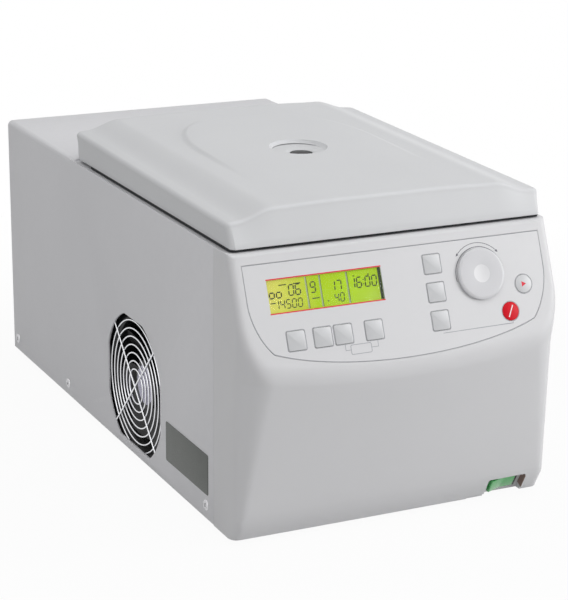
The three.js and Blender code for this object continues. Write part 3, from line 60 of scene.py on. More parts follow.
coverHigh = boxMm("case_cover")[1]
bezelLow, bezelHigh = boxMm("front_bezel")
lidLow, lidHigh = boxMm("lid_cover")
machine = {
    "halfWidth": coverHigh.x, "rearY": coverHigh.y, "deckTop": coverHigh.z, "bottom": bezelLow.z,
    "frontY": lidLow.y, "lidRearY": lidHigh.y, "lidHalf": lidHigh.x, "lidRim": lidLow.z,
    "trayTop": boxMm("top_tray")[1].z, "bezelBackY": bezelHigh.y,
    "sheet": 1.5, "seat": 0.3, "chamberY": -80.0, "fanY": -45.0, "fanZ": 66.4,
}


def lerp(a, b, share):
    return a + (b - a) * share


def smooth(share):
    share = np.clip(share, 0, 1)
    return share * share * (3 - 2 * share)


# Two faces that meet in a round edge, for distances that are positive outside.
def roundMax(a, b, radius):
    inner = np.minimum(-radius, np.maximum(a, b))
    return inner + np.hypot(np.maximum(a + radius, 0), np.maximum(b + radius, 0))


# Meshes

def newObject(name, points, faces):
    mesh = bpy.data.meshes.new(name)
    mesh.from_pydata([tuple(float(c) * mm for c in p) for p in points], [], faces)
    obj = bpy.data.objects.new(name, mesh)
    scene.collection.objects.link(obj)
    return obj


def closeSeams(obj, distance=0.0005):
    shape = bmesh.new()
    shape.from_mesh(obj.data)
    bmesh.ops.remove_doubles(shape, verts=shape.verts, dist=distance * mm)
    bmesh.ops.recalc_face_normals(shape, faces=shape.faces)
    shape.to_mesh(obj.data)
    shape.free()
    return obj


# What the modifiers make becomes the object's own plain mesh.
def settle(obj):
    evaluated = obj.evaluated_get(bpy.context.evaluated_depsgraph_get())
    made = bpy.data.meshes.new_from_object(evaluated)
    obj.modifiers.clear()
    obj.data = made
    return obj


def combine(obj, tool, operation="DIFFERENCE", overlapping=False):
    step = obj.modifiers.new("combine", "BOOLEAN")
    step.operation = operation
    step.object = tool
    step.solver = "EXACT"
    step.use_self = overlapping
    settle(obj)
    bpy.data.objects.remove(tool)
    return obj


def softEdges(obj, width, segments=2, angle=35):
    step = obj.modifiers.new("edges", "BEVEL")
    step.width = width * mm
    step.segments = segments
    step.limit_method = "ANGLE"
    step.angle_limit = math.radians(angle)
    step.use_clamp_overlap = True
    obj.modifiers.new("normals", "WEIGHTED_NORMAL").keep_sharp = True
    return settle(obj)


def place(obj, matrix):
    placed = Matrix(matrix)
    placed.translation = placed.translation * mm
    obj.data.transform(placed)
    return obj


# A frame at a place, whose x and y axes point along two given directions.
def facing(xWay, yWay, at):
    across, up = Vector(xWay), Vector(yWay)
    made = Matrix((across, up, across.cross(up))).transposed().to_4x4()
    made.translation = at
    return made


def joined(name, *objs):
    points, faces = [], []
    for obj in objs:
        start = len(points)
        points += [v.co / mm for v in obj.data.vertices]
        faces += [[start + i for i in p.vertices] for p in obj.data.polygons]
        bpy.data.objects.remove(obj)
    return newObject(name, points, faces)


# Quads between the neighbouring lines of a grid; a ring also joins each line's end to its start.
def gridFaces(rows, n, ring=False):
    faces = []
    for r in range(rows - 1):
        for c in range(n if ring else n - 1):
            a, b = r * n + c, r * n + (c + 1) % n
            faces.append([a, b, b + n, a + n])
    return faces


# A corner list of (u, v, radius) becomes an outline with round corners.
def roundedLine(corners, steps=6, closed=True):
    line = []
    count = len(corners)
    for i, (u, v, radius) in enumerate(corners):
        here = Vector((u, v))
        if radius <= 0 or (not closed and i in (0, count - 1)):
            line.append((u, v))
            continue
        before = Vector(corners[i - 1][:2]) - here
        after = Vector(corners[(i + 1) % count][:2]) - here
        half = before.angle(after) / 2
        back = min(radius / math.tan(half), before.length * 0.49, after.length * 0.49)
        toCentre = (before.normalized() + after.normalized()).normalized()
        centre = here + toCentre * (back / math.cos(half))
        start = here + before.normalized() * back - centre
        end = here + after.normalized() * back - centre
        turn = start.angle_signed(end)
        for step in range(steps + 1):
            angle = -turn * step / steps
            c, s = math.cos(angle), math.sin(angle)
            spun = Vector((start.x * c - start.y * s, start.x * s + start.y * c))
            line.append(tuple(centre + spun))
    return line


def roundedBox(u, v, width, height, radius, steps=6):
    signs = ((-1, -1), (1, -1), (1, 1), (-1, 1))
    corners = [(u + a * width / 2, v + b * height / 2, radius) for a, b in signs]
    return roundedLine(corners, steps)


def circleLine(u, v, radius, steps):
    turns = [2 * math.pi * i / steps for i in range(steps)]
    return [(u + radius * math.cos(t), v + radius * math.sin(t)) for t in turns]


# An outline in the xy, yz or xz plane carried between two values of the third axis.
def prism(name, plane, outline, span):
    order = {"xy": (0, 1, 2), "yz": (2, 0, 1), "xz": (0, 2, 1)}[plane]
    points = [tuple((u, v, w)[k] for k in order) for w in span for u, v in outline]
    n = len(outline)
    faces = [list(range(n)), list(range(n, 2 * n))] + gridFaces(2, n, ring=True)
    return closeSeams(newObject(name, points, faces))


def block(name, xSpan, ySpan, zSpan):
    (left, right), (near, far) = xSpan, ySpan
    return prism(name, "xy", [(left, near), (right, near), (right, far), (left, far)], zSpan)


# A profile of (radius, height) turned about the vertical through the origin.
def turned(name, profile, segments=64, closed=False):
    points, faces, rings = [], [], []
    for radius, height in profile:
        if radius < 1e-6:
            rings.append([len(points)] * segments)
            points.append((0, 0, height))
            continue
        rings.append(list(range(len(points), len(points) + segments)))
        points += [(u, v, height) for u, v in circleLine(0, 0, radius, segments)]
    for low, high in zip(rings, rings[1:] + (rings[:1] if closed else [])):
        for i in range(segments):
            j = (i + 1) % segments
            face = list(dict.fromkeys((low[i], low[j], high[j], high[i])))
            if len(face) > 2:
                faces.append(face)
    return closeSeams(newObject(name, points, faces))


def turnedRound(name, corners, steps, segments=64, closed=False):
    return turned(name, roundedLine(corners, steps, closed), segments, closed)


# A slot's own finish has the slot's name in camel case, apart from these.
otherFinish = {"panel_grey": "panelFilm", "lcd_green": "lcdGlow", "glass_clear": "clearGlass"}


def slotFinish(slotName):
    head, *rest = slotName.split("_")
    return otherFinish.get(slotName, head + "".join(word.title() for word in rest))


def finished(obj, body, slotName, replaced=(), angle=38, look=None):
    obj.data.shade_smooth()
    obj.data.set_sharp_from_angle(angle=math.radians(angle))
    obj.data.materials.clear()
    obj.data.materials.append(finish[look or slotFinish(slotName)])
    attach(obj, body)
    if replaced:
        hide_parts(*replaced)
    return obj


# Nodes: what goes into a socket is another socket or a plain value

def feed(tree, made, values):
    for socket, source in values.items():
        if isinstance(source, bpy.types.NodeSocket):
            tree.links.new(source, made.inputs[socket])
        else:
            made.inputs[socket].default_value = source
    return made


def node(tree, kind, values=None, **settings):
    made = tree.nodes.new(kind)
    for key, value in settings.items():
        setattr(made, key, value)
    return feed(tree, made, values or {})


def first(tree, kind, values=None, **settings):
    return node(tree, kind, values, **settings).outputs[0]


def mathOf(tree, operation, *values):
    return first(tree, "ShaderNodeMath", dict(enumerate(values)), operation=operation)


def ranged(tree, value, low, high, toLow=0.0, toHigh=1.0):
    limits = {"From Min": low, "From Max": high, "To Min": toLow, "To Max": toHigh}
    return first(tree, "ShaderNodeMapRange", {"Value": value, **limits})


# Geometry Nodes

def newTree(name, inputs):
    tree = bpy.data.node_groups.new(name, "GeometryNodeTree")
    for side in ("INPUT", "OUTPUT"):
        tree.interface.new_socket("Geometry", in_out=side, socket_type="NodeSocketGeometry")
    for label, kind in inputs.items():
        tree.interface.new_socket(label, in_out="INPUT", socket_type="NodeSocket" + kind)
    start, end = tree.nodes.new("NodeGroupInput"), tree.nodes.new("NodeGroupOutput")
    return tree, start.outputs, end.inputs[0]


# The tree's result as a plain mesh; values go in by each socket's identifier.
def runTree(name, tree, values, source=None):
    obj = source or newObject(name, [], [])
    obj.name = name
    step = obj.modifiers.new("nodes", "NODES")
    step.node_group = tree
    for socket in tree.interface.items_tree:
        if socket.in_out == "INPUT" and socket.name in values:
            step[socket.identifier] = values[socket.name]
    return settle(obj)


def copied(tree, points, shape, **more):
    values = {"Points": points, "Instance": shape, **more}
    made = first(tree, "GeometryNodeInstanceOnPoints", values)
    return first(tree, "GeometryNodeRealizeInstances", {"Geometry": made})


def coated(tree, geometry, material, end):
    values = {"Geometry": geometry, "Material": material}
    tree.links.new(first(tree, "GeometryNodeSetMaterial", values), end)
    return tree


def turnedCopies(tree, get, end, points, angle):
    turn = first(tree, "ShaderNodeCombineXYZ", {"Z": angle})
    shape = node(tree, "GeometryNodeObjectInfo", {"Object": get["Shape"]}).outputs["Geometry"]
    return coated(tree, copied(tree, points, shape, Rotation=turn), get["Finish"], end)


# Copies of a shape, turned about the z axis in equal steps.
def ringTree():
    inputs = {"Shape": "Object", "Count": "Int", "Finish": "Material"}
    tree, get, end = newTree("ringOfCopies", inputs)
    points = first(tree, "GeometryNodePoints", {"Count": get["Count"]})
    step = mathOf(tree, "DIVIDE", 2 * math.pi, get["Count"])
    angle = mathOf(tree, "MULTIPLY", first(tree, "GeometryNodeInputIndex"), step)
    return turnedCopies(tree, get, end, points, angle)


# Copies of a shape at each vertex of the object's own mesh, each given its own turn about z.
def scatterTree():
    inputs = {"Shape": "Object", "Turn": "Float", "Seed": "Int", "Finish": "Material"}
    tree, get, end = newTree("copiesAtPoints", inputs)
    points = first(tree, "GeometryNodeMeshToPoints", {"Mesh": get["Geometry"]})
    chance = node(tree, "FunctionNodeRandomValue", {"Seed": get["Seed"]})
    for socket in chance.inputs:
        if socket.name == "Max" and socket.type == "VALUE":
            tree.links.new(get["Turn"], socket)
    return turnedCopies(tree, get, end, points, chance.outputs[1])


# Round wires: rings about the middle, an eyelet at each corner and two crossed bars at a depth.
def guardTree():
    lengths = ("First Radius", "Pitch", "Wire", "Reach", "Depth", "Corner", "Eyelet")
    inputs = {"Rings": "Int", **{label: "Float" for label in lengths}, "Finish": "Material"}
    tree, get, end = newTree("wireGuard", inputs)

    def circles(points, radius, steps):
        values = {"Resolution": steps, "Radius": 1.0}
        circle = first(tree, "GeometryNodeCurvePrimitiveCircle", values)
        size = first(tree, "ShaderNodeCombineXYZ", {axis: radius for axis in "XYZ"})
        return copied(tree, points, circle, Scale=size)

    def rotated(shape, angle):
        values = {"Geometry": shape, "Rotation": (0, 0, angle)}
        return first(tree, "GeometryNodeTransform", values)

    index = first(tree, "GeometryNodeInputIndex")
    grow = mathOf(tree, "MULTIPLY_ADD", index, get["Pitch"], get["First Radius"])
    middle = first(tree, "GeometryNodePoints", {"Count": get["Rings"]})
    wires = [circles(middle, grow, 96)]
    square = first(tree, "GeometryNodeMeshCircle", {"Vertices": 4, "Radius": get["Corner"]})
    corners = first(tree, "GeometryNodeMeshToPoints", {"Mesh": rotated(square, math.pi / 4)})
    wires.append(circles(corners, get["Eyelet"], 24))
    back = mathOf(tree, "MULTIPLY", get["Reach"], -1.0)
    ends = (back, get["Reach"])
    near, far = (first(tree, "ShaderNodeCombineXYZ", {"X": x, "Z": get["Depth"]}) for x in ends)
    straight = first(tree, "GeometryNodeCurvePrimitiveLine", {"Start": near, "End": far})
    wires += [rotated(straight, angle) for angle in (math.pi / 4, -math.pi / 4)]
    together = node(tree, "GeometryNodeJoinGeometry")
    for wire in wires:
        tree.links.new(wire, together.inputs[0])
    values = {"Resolution": 10, "Radius": get["Wire"]}
    section = first(tree, "GeometryNodeCurvePrimitiveCircle", values)
    values = {"Curve": together.outputs[0], "Profile Curve": section, "Fill Caps": True}
    solid = first(tree, "GeometryNodeCurveToMesh", values)
    real = first(tree, "GeometryNodeRealizeInstances", {"Geometry": solid})
    return coated(tree, real, get["Finish"], end)


# Shader groups, each built once and given its own values in each material

def socketKind(value):
    return "Float" if isinstance(value, float) else {3: "Vector", 4: "Color"}[len(value)]


def newGroup(name, inputs, outputs):
    group = bpy.data.node_groups.new(name, "ShaderNodeTree")
    for label, value in inputs.items():
        kind = "NodeSocket" + socketKind(value)
        group.interface.new_socket(label, in_out="INPUT", socket_type=kind).default_value = value
    for label in outputs:
        kind = "NodeSocketColor" if label == "Color" else "NodeSocketFloat"
        group.interface.new_socket(label, in_out="OUTPUT", socket_type=kind)
    start, end = group.nodes.new("NodeGroupInput"), group.nodes.new("NodeGroupOutput")
    return group, start.outputs, end


def objectCoords(tree):
    return node(tree, "ShaderNodeTexCoord").outputs["Object"]


# Texture scale for a size in millimetres.
def scaleOf(tree, size):
    return mathOf(tree, "DIVIDE", 1000.0, size)


def noise(tree, where, scale, detail, roughness=0.5):
    values = {"Vector": where, "Scale": scale, "Detail": detail, "Roughness": roughness}
    return node(tree, "ShaderNodeTexNoise", values).outputs["Fac"]


def mixed(tree, amount, a, b):
    values = {"Factor": amount, 6: a, 7: b}
    return node(tree, "ShaderNodeMix", values, data_type="RGBA").outputs[2]


# Fine unevenness of a moulded, painted or cast skin.
def grainGroup():
    inputs = {"Size": 1.0, "Fineness": 4.0, "Pits": 0.3}
    group, get, give = newGroup("skinGrain", inputs, ("Height", "Mask"))
    where, scale = objectCoords(group), scaleOf(group, get["Size"])
    ripple = noise(group, where, scale, get["Fineness"])
    cells = node(group, "ShaderNodeTexVoronoi", {"Vector": where, "Scale": scale})
    pit = ranged(group, cells.outputs["Distance"], 0.0, 0.35)
    height = mathOf(group, "ADD", ripple, mathOf(group, "MULTIPLY", pit, get["Pits"]))
    feed(group, give, {"Height": height, "Mask": ripple})
    return group


# Slow drift of tone over a large piece, and a little dust on what faces up.
def driftGroup():
    inputs = {"Color": (0.8, 0.8, 0.8, 1), "Drift": 0.06, "Size": 90.0, "Dust": 0.05,
              "Dust Color": (0.55, 0.54, 0.5, 1)}
    group, get, give = newGroup("toneDrift", inputs, ("Color", "Mask"))
    where = objectCoords(group)
    cloud = noise(group, where, scaleOf(group, get["Size"]), 3.0)
    swing = mathOf(group, "MULTIPLY", mathOf(group, "SUBTRACT", cloud, 0.5), get["Drift"])
    values = {"Color": get["Color"], "Value": mathOf(group, "ADD", swing, 1.0)}
    tone = first(group, "ShaderNodeHueSaturation", values)
    normal = node(group, "ShaderNodeNewGeometry").outputs["Normal"]
    facing = node(group, "ShaderNodeSeparateXYZ", {0: normal}).outputs["Z"]
    patch = ranged(group, noise(group, where, 260.0, 6.0, 0.7), 0.5, 0.75)
    lying = mathOf(group, "MULTIPLY", ranged(group, facing, 0.6, 1.0), patch)
    amount = mathOf(group, "MULTIPLY", lying, get["Dust"])
    dusty = mixed(group, amount, tone, get["Dust Color"])
    feed(group, give, {"Color": dusty, "Mask": cloud})
    return group


# Rubbed edges, found by how sharply the surface turns.
def wearGroup():
    inputs = {"Color": (0.8, 0.8, 0.8, 1), "Worn Color": (0.9, 0.9, 0.9, 1), "Amount": 0.4}
    group, get, give = newGroup("rubbedEdges", inputs, ("Color", "Mask"))
    pointed = node(group, "ShaderNodeNewGeometry").outputs["Pointiness"]
    broken = ranged(group, noise(group, objectCoords(group), 120.0, 5.0), 0.35, 0.65)
    both = mathOf(group, "MULTIPLY", ranged(group, pointed, 0.52, 0.62), broken)
    amount = mathOf(group, "MULTIPLY", both, get["Amount"])
    worn = mixed(group, amount, get["Color"], get["Worn Color"])
    feed(group, give, {"Color": worn, "Mask": amount})
    return group


# Fine lines of a brushed or turned metal, drawn out along one axis.
def brushGroup():
    inputs = {"Stretch": (1.0, 1.0, 40.0), "Size": 0.6}
    group, get, give = newGroup("brushLines", inputs, ("Height",))
    values = {0: objectCoords(group), 1: get["Stretch"]}
    drawn = first(group, "ShaderNodeVectorMath", values, operation="MULTIPLY")
    feed(group, give, {"Height": noise(group, drawn, scaleOf(group, get["Size"]), 3.0)})
    return group


grain, drift, wear, brush = grainGroup(), driftGroup(), wearGroup(), brushGroup()
ringOfCopies, copiesAtPoints, wireGuard = ringTree(), scatterTree(), guardTree()
print("groups and trees built")


def ringOf(name, shape, count, materialName):
    values = {"Shape": shape, "Count": count, "Finish": finish[materialName]}
    made = runTree(name, ringOfCopies, values)
    bpy.data.objects.remove(shape)
    return made


def scattered(name, shape, spots, materialName, turn=0.0, seed=1):
    values = {"Shape": shape, "Turn": turn, "Seed": seed, "Finish": finish[materialName]}
    made = runTree(name, copiesAtPoints, values, newObject(name, spots, []))
    bpy.data.objects.remove(shape)
    return made


def linear(hexColor):
    channels = [int(hexColor[i : i + 2], 16) / 255 for i in (1, 3, 5)]
    bent = [c / 12.92 if c <= 0.04045 else ((c + 0.055) / 1.055) ** 2.4 for c in channels]
    return (*bent, 1)


def newMaterial(name):
    made = bpy.data.materials.new(name)
    made.use_nodes = True
    return made, made.node_tree, made.node_tree.nodes["Principled BSDF"]


def toneNode(tree, color, amount, size, dust=0.0):
    values = {"Color": color, "Drift": amount, "Size": size, "Dust": dust}
    return node(tree, "ShaderNodeGroup", values, node_tree=drift).outputs["Color"]


usual = {"drift": 0.06, "driftSize": 90.0, "dust": 0.05, "wear": 0.3, "pits": 0.3, "bump": 0.25,
         "relief": 0.05, "roughSpread": 0.08, "metallic": 0.0, "specular": 0.5, "coat": 0.0}


# One opaque finish: tone drift, rubbed edges, grain in the bump and an uneven gloss.
def makeFinish(name, given):
    look = {"worn": given["color"], "grain": 0.6, **usual, **given}
    made, tree, shader = newMaterial(name)
    tone = toneNode(tree, linear(look["color"]), look["drift"], look["driftSize"], look["dust"])
    values = {"Color": tone, "Worn Color": linear(look["worn"]), "Amount": look["wear"]}
    rubbed = node(tree, "ShaderNodeGroup", values, node_tree=wear)
    if "brush" in look:
        values = {"Stretch": look["brush"], "Size": look["grain"]}
        skin = node(tree, "ShaderNodeGroup", values, node_tree=brush)
        mask = skin.outputs["Height"]
    else:
        values = {"Size": look["grain"], "Pits": look["pits"]}
        skin = node(tree, "ShaderNodeGroup", values, node_tree=grain)
        mask = skin.outputs["Mask"]
    values = {"Height": skin.outputs["Height"], "Strength": look["bump"],
              "Distance": look["relief"] * mm}
    rough, spread = look["roughness"], look["roughSpread"]
    feed(tree, shader, {
        "Base Color": rubbed.outputs["Color"],
        "Normal": first(tree, "ShaderNodeBump", values),
        "Roughness": ranged(tree, mask, 0.3, 0.7, rough - spread, rough + spread),
        "Metallic": look["metallic"],
        "Specular IOR Level": look["specular"],
        "Coat Weight": look["coat"],
        "Coat Roughness": 0.1,
    })
    return made


printInk = {"roughness": 0.6, "grain": 0.3, "driftSize": 8.0}
looks = {
    "caseWhite": {"color": "#d1d1d3", "worn": "#dddddf", "roughness": 0.5, "grain": 0.9,
                  "bump": 0.12, "wear": 0.35, "drift": 0.05},
    "lidWhite": {"color": "#cecfd1", "worn": "#dbdbdd", "roughness": 0.52, "grain": 0.9,
                 "bump": 0.14, "wear": 0.35, "drift": 0.05},
    "sheetPaint": {"color": "#d9d9dc", "worn": "#e2e2e4", "roughness": 0.55, "grain": 1.3,
                   "bump": 0.2, "pits": 0.5, "wear": 0.4},
    "panelFilm": {"color": "#d3d3d5", "worn": "#dddddf", "roughness": 0.42, "grain": 0.5,
                  "bump": 0.1, "wear": 0.1, "drift": 0.03, "pits": 0.15},
    "keyGrey": {"color": "#c9cacc", "worn": "#d6d7d9", "roughness": 0.4, "grain": 0.4,
                "bump": 0.1, "drift": 0.04, "driftSize": 12.0},
    "dialGrey": {"color": "#cbcbce", "worn": "#d8d8da", "roughness": 0.42, "grain": 0.4,
                 "bump": 0.12, "drift": 0.04, "driftSize": 30.0},
    "dimpleGrey": {"color": "#dcdcde", "roughness": 0.35, "grain": 0.4, "bump": 0.08,
                   "driftSize": 12.0},
    "stopRed": {"color": "#d0041c", "worn": "#da2c40", "roughness": 0.5, "grain": 0.4,
                "bump": 0.1, "specular": 0.2},
    # Grey of the printed dial arrow, also used for the painted shadow arc round the dial
    "printGrey": {**printInk, "color": "#5f6167", "drift": 0.2},
    "printPale": {**printInk, "color": "#9a9ca3", "drift": 0.2},
    "printRed": {**printInk, "color": "#d8243a", "roughness": 0.55, "drift": 0.1},
    "printWhite": {**printInk, "color": "#f4f1f2", "roughness": 0.55, "drift": 0.05},
    "darkPlastic": {"color": "#1b1c1f", "worn": "#3a3b3f", "roughness": 0.5, "grain": 0.7,
                    "bump": 0.3, "dust": 0.12},
    "fanBlack": {"color": "#141517", "worn": "#2a2b2e", "roughness": 0.42, "grain": 0.8,
                 "bump": 0.2, "dust": 0.2},
    "fanLabel": {"color": "#dcdaee", "roughness": 0.35, "bump": 0.05, "driftSize": 20.0},
    "switchGreen": {"color": "#2fa24a", "worn": "#68c07b", "roughness": 0.22, "grain": 0.5,
                    "bump": 0.06, "coat": 0.5},
    # Painted shade on the right wall of the mains switch recess
    "recessBrown": {"color": "#8a736c", "roughness": 0.6, "grain": 0.8, "bump": 0.15},
    # Dark ink of the digits, also used for the painted shadow strips on the display
    "lcdInk": {"color": "#27311a", "roughness": 0.5, "grain": 0.4, "bump": 0.05, "driftSize": 10.0},
    "lcdRib": {"color": "#9a9f90", "roughness": 0.4, "grain": 0.4, "bump": 0.05, "driftSize": 10.0},
    "smokedGlass": {"color": "#0b0c0e", "roughness": 0.2, "grain": 4.0, "bump": 0.02,
                    "roughSpread": 0.03, "specular": 0.03},
    "plateDark": {"color": "#4c504c", "worn": "#7b7f7a", "roughness": 0.5, "bump": 0.15,
                  "driftSize": 25.0, "drift": 0.12},
    "stainless": {"color": "#b9bbbe", "worn": "#d2d3d5", "roughness": 0.3, "metallic": 1.0,
                  "brush": (1.0, 1.0, 30.0), "bump": 0.1, "roughSpread": 0.06, "dust": 0.02},
    "chrome": {"color": "#dfe0e3", "worn": "#f2f2f3", "roughness": 0.2, "metallic": 1.0,
               "grain": 0.8, "bump": 0.05, "roughSpread": 0.05},
    "alloy": {"color": "#a6a9ad", "worn": "#c8cacd", "roughness": 0.36, "metallic": 1.0,
              "brush": (1.0, 30.0, 1.0), "bump": 0.12, "roughSpread": 0.07},
    "darkAlloy": {"color": "#474b51", "worn": "#8a8d92", "roughness": 0.42, "metallic": 0.9,
                  "grain": 0.5, "bump": 0.15},
    "blackSteel": {"color": "#25272b", "worn": "#55585d", "roughness": 0.5, "metallic": 0.3,
                   "grain": 0.9, "bump": 0.2, "pits": 0.5},
    "copper": {"color": "#b5714a", "worn": "#d08e66", "roughness": 0.34, "metallic": 1.0,
               "grain": 1.5, "bump": 0.1, "drift": 0.2, "driftSize": 15.0},
    "rubber": {"color": "#232427", "worn": "#3a3b3e", "roughness": 0.82, "bump": 0.3,
               "dust": 0.15, "specular": 0.3},
    "foam": {"color": "#6d6e71", "roughness": 0.92, "grain": 1.6, "bump": 0.8, "relief": 0.4,
             "pits": 1.2, "specular": 0.2},
    "boardGreen": {"color": "#1f5c3a", "worn": "#8a7a3c", "roughness": 0.45, "grain": 0.7,
                   "bump": 0.1},
    "screwSteel": {"color": "#d2d2d4", "worn": "#efeff0", "roughness": 0.35, "metallic": 0.6,
                   "grain": 0.5, "bump": 0.08},
}
finish = {name: makeFinish(name, look) for name, look in looks.items()}
lcdLook = {"color": "#b6d832", "roughness": 0.4, "specular": 0.25, "grain": 0.5, "bump": 0.04}
lcdStops = {0.3: "#aeb636", 0.42: "#9ab216", 0.75: "#98b418"}
lcdEnds = ("#c6bd5e", "#92aa1e")
clearGlass = {"color": "#f4f8f2", "roughness": 0.03, "smear": 0.06, "bending": 1.1}


# The lit liquid crystal: yellow-green at the left, greener to the right, uneven behind the glass.
def makeLcdFinish(leftX, rightX):
    made = makeFinish("lcdGlow", lcdLook)
    tree = made.node_tree
    split = node(tree, "ShaderNodeSeparateXYZ", {0: objectCoords(tree)})
    across = ranged(tree, split.outputs["X"], leftX * mm, rightX * mm)
    ramp = node(tree, "ShaderNodeValToRGB", {"Fac": across})
    stops = ramp.color_ramp.elements
    for stop, color in zip(stops, lcdEnds):
        stop.color = linear(color)
    for position, color in lcdStops.items():
        stops.new(position).color = linear(color)
    tone = toneNode(tree, ramp.outputs[0], 0.12, 14.0)
    values = {"Base Color": tone, "Emission Color": tone, "Emission Strength": 0.22}
    feed(tree, tree.nodes["Principled BSDF"], values)
    return made


# Clear glass with faint smears in its gloss.
def makeGlassFinish(name, look):
    made, tree, shader = newMaterial(name)
    values = {"Size": 6.0, "Fineness": 3.0, "Pits": 0.0}
    smear = node(tree, "ShaderNodeGroup", values, node_tree=grain).outputs["Mask"]
    rough = look["roughness"]
    feed(tree, shader, {
        "Base Color": toneNode(tree, linear(look["color"]), 0.04, 20.0),
        "Transmission Weight": 1.0,
        "IOR": look["bending"],
        "Roughness": ranged(tree, smear, 0.35, 0.7, rough, rough + look["smear"]),
    })
    return made


finish["clearGlass"] = makeGlassFinish("clearGlass", clearGlass)
print("finishes built")

# Camera, light, floor

photo = {
    "width": 568, "focal": 2029.2, "yaw": 0.449, "pitch": 0.296, "roll": 0.009,
    "position": (-738.9, -1582.8, 647.3),
}


def makeCamera():
    yaw, pitch, roll = photo["yaw"], photo["pitch"], photo["roll"]
    flat = math.cos(pitch)
    ahead = Vector((math.sin(yaw) * flat, math.cos(yaw) * flat, -math.sin(pitch)))
    level = Vector((math.cos(yaw), -math.sin(yaw), 0))
    up = level.cross(ahead)
    right = level * math.cos(roll) + up * math.sin(roll)
    over = up * math.cos(roll) - level * math.sin(roll)
    data = bpy.data.cameras.new("camera")
    camera = bpy.data.objects.new("camera", data)
    scene.collection.objects.link(camera)
    data.sensor_fit = "HORIZONTAL"
    data.sensor_width = 36
    data.lens = photo["focal"] / photo["width"] * data.sensor_width
    data.clip_start = 0.05
    data.clip_end = 60
    turn = Matrix((right, over, -ahead)).transposed().to_4x4()
    turn.translation = Vector(photo["position"]) * mm
    camera.matrix_world = turn
    scene.camera = camera


# Lamps in metres and watts, all turned to the same spot on the machine
lamps = {
    "key": {"at": (2.4, -1.6, 0.9), "size": 1.4, "power": 40},
    "front": {"at": (0.2, -1.3, 2.7), "size": 2.0, "power": 25},
    "top": {"at": (0.1, 0.3, 2.6), "size": 2.2, "power": 17.5},
    "fill": {"at": (-2.6, -1.1, 1.1), "size": 2.0, "power": 16.5},
    "low": {"at": (1.3, -1.5, 0.55), "size": 0.9, "power": 3.5},
}
studio = {"aim": (0, -0.05, 0.12), "world": 0.22, "floorTone": 0.62, "floorGlow": 0.95,
          "shadowReach": (0.35, 0.8), "floorHalf": 9000}


# Rays that the eye, a mirror or glass sends out, which all see the white ground.
def seenRays(tree):
    path = node(tree, "ShaderNodeLightPath")
    total = path.outputs["Is Camera Ray"]
    for other in ("Is Glossy Ray", "Is Transmission Ray"):
        total = mathOf(tree, "MAXIMUM", total, path.outputs[other])
    return total


def makeLamps():
    for name, setting in lamps.items():
        data = bpy.data.lights.new(name, "AREA")
        data.size = setting["size"]
        data.energy = setting["power"]
        lamp = bpy.data.objects.new(name, data)
        lamp.location = setting["at"]
        aim = Vector(studio["aim"]) - Vector(setting["at"])
        lamp.rotation_euler = aim.to_track_quat("-Z", "Y").to_euler()
        scene.collection.objects.link(lamp)


def makeStudio():
    makeLamps()
    world = bpy.data.worlds.new("studio")
    scene.world = world
    world.use_nodes = True
    tree = world.node_tree
    strength = ranged(tree, seenRays(tree), 0.0, 1.0, studio["world"], 1.0)
    feed(tree, tree.nodes["Background"], {"Color": (1, 1, 1, 1), "Strength": strength})

    far = studio["floorHalf"]
    corners = [(-far, -far, 0), (far, -far, 0), (far, far, 0), (-far, far, 0)]
    floor = newObject("floor", corners, [[0, 1, 2, 3]])
    ground, tree, matt = newMaterial("floor")
    tone = studio["floorTone"]
    values = {"Base Color": (tone, tone, tone, 1), "Roughness": 0.9, "Specular IOR Level": 0.1}
    feed(tree, matt, values)
    glow = first(tree, "ShaderNodeEmission", {"Color": (1, 1, 1, 1), "Strength": 1.0})
    away = node(tree, "ShaderNodeVectorMath", {0: objectCoords(tree)}, operation="LENGTH")
    fade = ranged(tree, away.outputs["Value"], *studio["shadowReach"], studio["floorGlow"], 1.0)
    share = mathOf(tree, "MULTIPLY", seenRays(tree), fade)
    blend = first(tree, "ShaderNodeMixShader", {0: share, 1: matt.outputs[0], 2: glow})
    feed(tree, tree.nodes["Material Output"], {"Surface": blend})
    floor.data.materials.append(ground)
    scene.view_settings.view_transform = "Standard"


makeCamera()
makeStudio()
print("camera and studio ready")

# Front moulding

moulding = {
    "wall": 3.0, "chamferHeight": 17.0, "edgeReach": 11.0, "lowerReach": 20.5, "crestReach": 42.0,
    "crestHeight": 134.0, "footRadius": 7.0, "crestRadius": 24.0, "footBow": 0.6, "crestBow": 6.4,
    "crestRound": 4.6, "chamferRound": 3.0, "edgeRound": 0.8, "consoleTilt": math.radians(22),
    "consoleSetback": 2.4, "lipSetback": 0.5, "lipReach": 3.67, "lipDrop": 1.85,
    "coreHalf": 110.0, "coreDepth": 16.0, "farthest": 90.0,
    "notchFromX": 71.0, "notchHeight": 2.3,
}
frontFace = machine["frontY"] - moulding["edgeReach"]
consoleMatrix = Matrix.Translation(
    (0, machine["frontY"] - moulding["consoleSetback"], machine["deckTop"])
) @ Matrix.Rotation(math.pi / 2 - moulding["consoleTilt"], 4, "X")
chamferRun = moulding["lowerReach"] - moulding["edgeReach"]
switchMatrix = Matrix.Translation(
    (
        0,
        machine["frontY"] - (moulding["edgeReach"] + moulding["lowerReach"]) / 2,
        machine["bottom"] + moulding["chamferHeight"] / 2,
    )
) @ Matrix.Rotation(math.atan2(moulding["chamferHeight"], -chamferRun), 4, "X")


